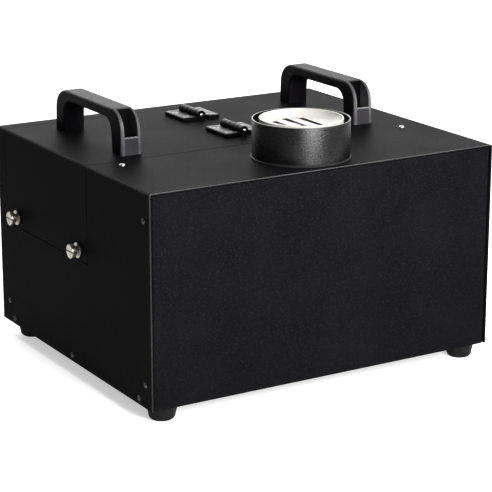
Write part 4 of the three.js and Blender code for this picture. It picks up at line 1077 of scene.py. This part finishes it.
def dome_head_recipe():
    """A domed screw head with a cross recess, its seat on the point."""
    recipe = Recipe("dome_heads", "Radius", "Height", "Recess", "Groove")
    radius, height = recipe.given["Radius"], recipe.given["Height"]
    ball = recipe.node(
        "GeometryNodeMeshUVSphere", None, {"Segments": HEAD_SIDES, "Rings": 16, "Radius": radius}
    )
    dome = recipe.moved(ball, Scale=recipe.vector(1.0, 1.0, height / radius))
    wide = radius * 4
    under = recipe.lifted(recipe.bar(wide, wide, wide), wide * -0.5)
    bars = [recipe.lifted(bar, height) for bar in recipe.cross(height)]
    return recipe.end(recipe.less(dome, under, *bars))


def flush_head_recipe():
    """A countersunk screw head with a cross recess, its face on the point."""
    recipe = Recipe("flush_heads", "Radius", "Depth", "Recess", "Groove")
    radius, depth = recipe.given["Radius"], recipe.given["Depth"]
    cone = recipe.node("GeometryNodeMeshCone", None, {
        "Vertices": HEAD_SIDES, "Radius Top": radius, "Radius Bottom": radius * 0.5, "Depth": depth,
    })
    head = recipe.lifted(cone, depth * -1.0)
    return recipe.end(recipe.less(head, *recipe.cross(depth)))


def coil_recipe():
    """A coil of round wire from the point along its facing."""
    recipe = Recipe("coils", "Radius", "Wire", "Turns", "Length")
    size = recipe.given
    line = recipe.node("GeometryNodeCurveSpiral", None, {
        "Resolution": 28, "Rotations": size["Turns"], "Start Radius": size["Radius"],
        "End Radius": size["Radius"], "Height": size["Length"],
    })
    wire = recipe.node(
        "GeometryNodeCurvePrimitiveCircle", None, {"Resolution": 12, "Radius": size["Wire"]}
    )
    return recipe.end(recipe.node(
        "GeometryNodeCurveToMesh", None, {"Curve": line, "Profile Curve": wire, "Fill Caps": True}
    ))


def rib_recipe():
    """A ring of short ribs round the point, as on a knurled head."""
    recipe = Recipe("ribs", "Radius", "Length", "Depth", "Count")
    size = recipe.given
    circle = recipe.node(
        "GeometryNodeMeshCircle",
        {"fill_type": "NONE"},
        {"Vertices": size["Count"], "Radius": size["Radius"]},
    )
    outwards = recipe.node("GeometryNodeInputPosition")
    rib = recipe.bar(size["Depth"] * 2, size["Depth"] * 2, size["Length"])
    edge = recipe.moved(rib, Rotation=(0.0, 0.0, math.pi / 4))
    return recipe.end(recipe.placed(circle, edge, recipe.facing(outwards, "X")))


RECIPES = {
    "dome": dome_head_recipe(),
    "flush": flush_head_recipe(),
    "coil": coil_recipe(),
    "rib": rib_recipe(),
}


def grown(name, kind, spots, look, body, nodes=(), slot=None, **sizes):
    """Grows a recipe on spots, each a place and the way that it faces, into one plain piece."""
    mesh = bpy.data.meshes.new(name)
    mesh.from_pydata([tuple(place) for place, _ in spots], [], [])
    facing = mesh.attributes.new("facing", "FLOAT_VECTOR", "POINT")
    facing.data.foreach_set("vector", [part for _, way in spots for part in way])
    obj = bpy.data.objects.new(name, mesh)
    bpy.context.scene.collection.objects.link(obj)
    recipe = RECIPES[kind].nodes
    step = obj.modifiers.new(kind, "NODES")
    step.node_group = recipe
    for socket in recipe.interface.items_tree:
        if socket.in_out == "INPUT" and socket.name in sizes:
            step[socket.identifier] = sizes[socket.name]
        if socket.name == "Material":
            step[socket.identifier] = LOOKS[look]
    bpy.context.view_layer.update()
    applied(obj)
    smooth(obj, 28)
    return finished(obj, look, *nodes, body=body, slot=slot)


def dome_screws(name, spots, look, body, radius, height, nodes=()):
    return grown(
        name, "dome", spots, look, body, nodes,
        Radius=radius, Height=height, Recess=radius * 1.15, Groove=radius * 0.26,
    )


def make_case_screws():
    column, row = FRONT + 14 * MM, BOTTOM + 8 * MM
    low_column = BOTTOM + 28 * MM
    side_places = [
        (column, TOP - 33 * MM), (column, low_column), (REAR - 22.5 * MM, low_column),
        (FRONT + 30 * MM, row), ((FRONT + REAR) / 2, row), (REAR - 36 * MM, row),
    ]
    spots = [
        ((x, y, z), (way, 0, 0)) for x, way in ((LEFT, -1), (RIGHT, 1)) for y, z in side_places
    ]
    dome_screws("case_screws", spots, "black_steel", "root", 3.2 * MM, 1.7 * MM)
    nodes = ("top_screw_left", "top_screw_right")
    tops = [((middle(node).x, middle(node).y, TOP), (0, 0, 1)) for node in nodes]
    dome_screws("top_screws", tops, "bright_steel", "root", 3.6 * MM, 2.2 * MM, nodes)


def make_hinge_screws():
    for side, body, name in ((-1, "hatch", "hatch_leaf_screws"), (1, "root", "cover_leaf_screws")):
        x = HINGE_X + side * LEAF_SCREW_OUT
        spots = []
        for which in ("front", "rear"):
            y = middle(f"{which}_hinge_pin").y
            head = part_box(f"{which}_hinge_fixed_leaf")[0].z + LEAF_THICKNESS - 0.3 * MM
            spots += [((x, y + way * LEAF_SCREW_ALONG, head), (0, 0, 1)) for way in (-1, 1)]
        grown(
            name, "flush", spots, "black_steel", body,
            Radius=4.2 * MM, Depth=2.2 * MM, Recess=4.4 * MM, Groove=1.1 * MM,
        )


def make_handle_screws():
    for side in ("left", "right"):
        node = f"{side}_handle"
        low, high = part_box(node)
        inset, seat = 10.25 * MM, low.z + 10 * MM
        spots = [
            ((middle(node).x, y, seat), (0, 0, 1)) for y in (low.y + inset, high.y - inset)
        ]
        dome_screws(f"{node}_screws", spots, "bright_steel", BODY_OF[node], 5.6 * MM, 3.4 * MM)


def make_foot_screws():
    recess = 9 * MM
    spots = []
    for place in FOOT_PLACES:
        x, y, _ = middle(f"rubber_foot_{place}")
        spots.append(((x, y, recess - 0.1 * MM), (0, 0, -1)))
    dome_screws("foot_screws", spots, "bright_steel", "root", 4.6 * MM, 2.4 * MM)


def make_ribs():
    for which in ("front", "rear"):
        node = f"{which}_thumb_screw"
        spot = middle(node)
        spot.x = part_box(node)[0].x + 3 * MM
        grown(
            f"{which}_thumb_ribs", "rib", [(spot, (-1, 0, 0))], "thumb_steel", BODY_OF[node],
            slot="bright_steel", Radius=8.45 * MM, Length=3.8 * MM, Depth=0.24 * MM, Count=56,
        )


def make_spring(name, node, centre, axis, radius, wire, turns):
    """A coil along an axis of its solid."""
    low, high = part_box(node)
    way = Vector((0, 0, 0))
    way[axis] = 1
    start, anchor = centre.copy(), centre.copy()
    start[axis], anchor[axis] = low[axis] + wire, high[axis]
    long = high[axis] - low[axis]
    coil = grown(
        name, "coil", [(start, way)], "bright_steel", "root", (node,),
        Radius=radius, Wire=wire, Turns=turns, Length=long - 2 * wire,
    )
    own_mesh(coil)


def make_springs():
    for side in ("left", "right"):
        node = f"{side}_pusher_spring"
        make_spring(
            f"{side}_push_coil", node, middle(node), 1, 9 * MM, 0.8 * MM, 5.0,
        )
    make_spring(
        "valve_coil", "valve_spring", middle("valve_plunger"), 2, 4.4 * MM, 0.45 * MM, 4.0,
    )


# gas cans


def make_can(side):
    node = f"{side}_gas_can"
    low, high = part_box(node)
    start, end = low.y, high.y
    profile = [
        *outline(start, (1.5, 0), (3.4, 0), (4, 0.6), (4, 9)),
        *outline(start, (12.4, 9), (13, 9.6), (13, 13.4), (12.2, 14.2), (12.6, 16)),
        *outline(start, (22, 19.6), (26.75, 24), (30.55, 28.6), (32.15, 31.6)),
        *outline(start, (32.65, 32.4), (32.65, 33.6), (32.05, 34.6)),
        *outline(end, (32.05, -6), (32.65, -5), (32.65, -1), (31.75, 0), (30.75, 0)),
        *outline(end, (30.15, -1.4), (22, -4.4), (0, -7)),
        *outline(end, (0, -8), (22, -5.4), (28.75, -3), (31.05, -6.5)),
        *outline(start, (31.05, 34), (12, 17), (1.5, 10)),
    ]
    finished(lathe(f"{side}_can_shell", "y", middle(node), profile, 72), "can_paint", node)


# the rear panel's fittings


def make_button(number):
    node = f"menu_button_{number}"
    low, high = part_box(node)
    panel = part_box("rear_panel")[1].y - SHEET
    profile = [
        *outline(low.y, (0, 0), (2, 0)),
        *outline(panel, (2, -1.4), (5.6, -1.4), (5.6, -0.4), (4, -0.4)),
        *outline(high.y, (4, -0.7), (3.6, -0.25), (2.8, -0.05), (1.6, -0.25), (0, -0.4)),
    ]
    finished(lathe(f"button_cap_{number}", "y", middle(node), profile, 40), "moulded_black", node)


def make_flange(node, corner, edge, segments):
    """The flat plate on the front of a socket."""
    low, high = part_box(node)
    plate = rectangle(low.x, high.x, low.z, high.z, corner)
    flange = prism(f"{node}_shell", "y", plate, high.y - 2.5 * MM, high.y)
    return soften(flange, edge, segments)


def make_data_socket(node):
    low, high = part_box(node)
    spot, face = middle(node), high.y
    socket = make_flange(node, 2 * MM, 0.4 * MM, 2)
    body = outline(low.y, (0, 0), (11.2, 0), (11.6, 0.4)) + outline(face, (11.6, -0.1), (0, -0.1))
    join(socket, lathe("body", "y", spot, body, 56))
    cut(socket, rod("bore", "y", spot, 9 * MM, face - 14 * MM, face + OVERRUN, 56))
    pin = outline(face, (0, -15), (1.2, -15), (1.2, -6.6), (0.8, -6.05), (0, -6))
    ring, count = 4.6 * MM, 3
    pins = []
    for i in range(count):
        angle = math.tau * i / count - math.pi / 2
        centre = (spot.x + ring * math.cos(angle), 0, spot.z + ring * math.sin(angle))
        pins.append(lathe("pin", "y", centre, pin, 20))
    join(socket, *pins)
    finished(socket, "black_steel", node)


def make_mains_socket(node):
    low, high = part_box(node)
    spot, face = middle(node), high.y
    socket = make_flange(node, 6 * MM, 0.5 * MM, 3)

    def box(name, x, wide, deep, tall, end):
        """A block with its middle x to the right of the socket's, from deep to end in y."""
        return block(
            name,
            (spot.x + x - wide / 2, deep, spot.z - tall / 2),
            (spot.x + x + wide / 2, end, spot.z + tall / 2),
        )

    join(socket, box("body", 0, 31 * MM, low.y, 22 * MM, face - 0.2 * MM))
    half_wide, half_tall, corner = 12 * MM, 8 * MM, 4 * MM
    x0, x1, z0, z1 = spot.x - half_wide, spot.x + half_wide, spot.z - half_tall, spot.z + half_tall
    opening = [
        (x0, z0), (x1, z0), (x1, z1 - corner), (x1 - corner, z1), (x0 + corner, z1),
        (x0, z1 - corner),
    ]
    cut(socket, prism("bore", "y", opening, face - 14 * MM, face + OVERRUN))
    blades = [
        soften(box("blade", x, 2 * MM, face - 16 * MM, 4 * MM, face - 6 * MM), 0.3 * MM)
        for x in (-7 * MM, 0, 7 * MM)
    ]
    join(socket, *blades)
    finished(socket, "moulded_black", node)


def make_bezel():
    """A frame round the display window, which lies on the rear panel."""
    low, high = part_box("display_window")
    border, lap = 4 * MM, 1 * MM
    face = max(REAR, high.y) + 0.9 * MM
    outer = rectangle(low.x - border, high.x + border, low.z - border, high.z + border, 3 * MM)
    bezel = prism("display_bezel", "y", outer, REAR, face)
    inner = rectangle(low.x + lap, high.x - lap, low.z + lap, high.z - lap, 1 * MM)
    cut(bezel, prism("opening", "y", inner, REAR - OVERRUN, face + OVERRUN))
    if high.y > REAR + TINY:
        cut(bezel, block(
            "window_space",
            (low.x - TINY, REAR - OVERRUN, low.z - TINY),
            (high.x + TINY, high.y, high.z + TINY),
        ))
    soften(bezel, 0.5 * MM, segments=3)
    finished(bezel, "moulded_black", body="root")


def make_socket_screws():
    places = []
    for node in DATA_SOCKETS:
        low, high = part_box(node)
        inset = 3 * MM
        places += [
            (low.x + inset, high.y, low.z + inset), (high.x - inset, high.y, high.z - inset)
        ]
    for node in MAINS_SOCKETS:
        low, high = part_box(node)
        inset = 4 * MM
        places += [(x, high.y, middle(node).z) for x in (low.x + inset, high.x - inset)]
    spots = [(place, (0, 1, 0)) for place in places]
    dome_screws("socket_screws", spots, "bright_steel", "root", 2.3 * MM, 1.1 * MM)


make_cover()
make_hatch()
make_front_panel()
make_rear_panel()
for place in FOOT_PLACES:
    make_foot(place)
for side in ("left", "right"):
    make_handle(side)
    make_can(side)
for which in ("front", "rear"):
    make_leaf(which, -1)
    make_leaf(which, 1)
    make_pin(which)
    make_thumb_screw(which)
make_tube()
make_cup()
make_case_screws()
make_hinge_screws()
make_handle_screws()
make_foot_screws()
make_ribs()
make_springs()
for number in range(1, 5):
    make_button(number)
for node in DATA_SOCKETS:
    make_data_socket(node)
for node in MAINS_SOCKETS:
    make_mains_socket(node)
make_socket_screws()
make_bezel()

# pieces that keep their solid's shape: their look, and how wide their edges are rounded, in mm
PLAIN_PIECES = {
    "base_tray": ("powder_coat", 0.3),
    "fire_wall": ("zinc_plate", 0.3),
    "bay_wall": ("zinc_plate", 0.3),
    "catch_strip": ("zinc_plate", 0.3),
    "front_retaining_ring": ("black_steel", 0.2),
    "rear_retaining_ring": ("black_steel", 0.2),
    "jet_nozzle": ("brass", 0.3),
    "electrode_insulator": ("ceramic", 0.4),
    "ignition_electrode": ("bright_steel", 0.2),
    "can_manifold": ("aluminium", 0.8),
    "can_cradle": ("moulded_black", 0.8),
    "can_pusher": ("zinc_plate", 0.6),
    "solenoid_valve": ("brass", 0.6),
    "solenoid_coil": ("moulded_black", 1.2),
    "valve_plunger": ("bright_steel", 0.4),
    "gas_pipe": ("copper", 0),
    "ignition_transformer": ("moulded_black", 1.2),
    "power_supply": ("zinc_plate", 0.6),
    "control_board": ("circuit_green", 0.15),
    "display_window": ("smoked_window", 0.4),
    "rocker_frame": ("moulded_black", 0.5),
    "power_rocker": ("red_plastic", 0.5),
    "key_lock": ("bright_steel", 0.4),
    "arming_key": ("bright_steel", 0.4),
}
for node, (look, width) in PLAIN_PIECES.items():
    dressed(node, look, width * MM)
# the burner housing in zinc blackened as soot and painted shade
dressed("burner_housing", "sooty_zinc", 0.4 * MM, slot="zinc_plate")


# floor, light and camera


def make_floor():
    half, thickness = 6, 0.02
    floor = block("floor", (-half, -half, -thickness), (half, half, 0))
    paper = Finish("floor_paper")
    floor.data.materials.append(paper.shade(
        Base_Color=paper.mixed(paper.noise(3, 2.0), grey(0.9), grey(0.92)),
        Roughness=0.9,
        Specular_IOR_Level=0.0,
        Emission_Color=grey(1.0),
        Emission_Strength=0.5,
    ))


def aimed(name, data, target, away, distance):
    """A lamp or a camera that faces a target from some way off."""
    obj = bpy.data.objects.new(name, data)
    obj.location = target + away * distance
    obj.rotation_mode = "QUATERNION"
    obj.rotation_quaternion = (-away).to_track_quat("-Z", "Y")
    bpy.context.scene.collection.objects.link(obj)
    return obj


def make_light(name, direction, distance, width, height, power):
    """A soft lamp that faces the machine from a direction."""
    lamp = bpy.data.lights.new(name, "AREA")
    lamp.shape, lamp.size, lamp.size_y, lamp.energy = "RECTANGLE", width, height, power
    machine = Vector((0.01, -0.01, 0.15))
    aimed(name, lamp, machine, Vector(direction).normalized(), distance)


def make_world():
    """White to the camera. As a light it is dark on the left, dim in front, brightest behind."""
    world = bpy.data.worlds.new("studio")
    world.use_nodes = True
    sky = Tree(world.node_tree)
    sky.nodes.nodes.clear()
    x, y, z = sky.split(sky.node("ShaderNodeTexCoord", output="Generated"))
    from_left = sky.between(x, -0.45, 0.3, 0.04, 1.0, "SMOOTHSTEP")
    from_below = sky.between(z, -0.2, 0.25, 0.25, 1.0, "SMOOTHSTEP")
    from_behind = sky.between(y, 0.45, 0.88, 0.22, 6.8, "SMOOTHSTEP")
    strength = from_left * from_below * from_behind
    lit, seen = (
        sky.node("ShaderNodeBackground", None, {"Color": grey(1.0), "Strength": level})
        for level in (strength, 1.0)
    )
    camera_ray = sky.node("ShaderNodeLightPath", output="Is Camera Ray")
    either = sky.node("ShaderNodeMixShader", None, {0: camera_ray, 1: lit, 2: seen})
    sky.node("ShaderNodeOutputWorld", None, {"Surface": either})
    bpy.context.scene.world = world


def make_camera():
    azimuth, elevation, distance = math.radians(-31.02), math.radians(16.03), 2.3678
    target = Vector((13.9 * MM, -13.0 * MM, 126.2 * MM))
    back = Vector((
        math.sin(azimuth) * math.cos(elevation),
        -math.cos(azimuth) * math.cos(elevation),
        math.sin(elevation),
    ))
    data = bpy.data.cameras.new("camera")
    data.sensor_width, data.lens = 36, 139.52
    data.clip_start, data.clip_end = 0.05, 50
    bpy.context.scene.camera = aimed("camera", data, target, back, distance)


make_floor()
# each lamp: the way to it from the machine, its distance, width and height in metres, and its watts
make_light("overhead", (0.6, 0.2, 1), 2.2, 1.8, 2.0, 36)
make_light("front", (-0.1, -1.2, 0.5), 1.4, 0.45, 0.9, 44)
make_light("brow", (0.25, -0.6, 0.5), 0.64, 0.9, 0.1, 5)
make_light("side", (-1.1, -0.4, 0.9), 1.3, 0.12, 1.0, 1)
make_light("back", (0.0, 1.2, 0.9), 2.0, 1.2, 0.8, 9)
make_world()
make_camera()
bpy.context.scene.view_settings.view_transform = "Standard"
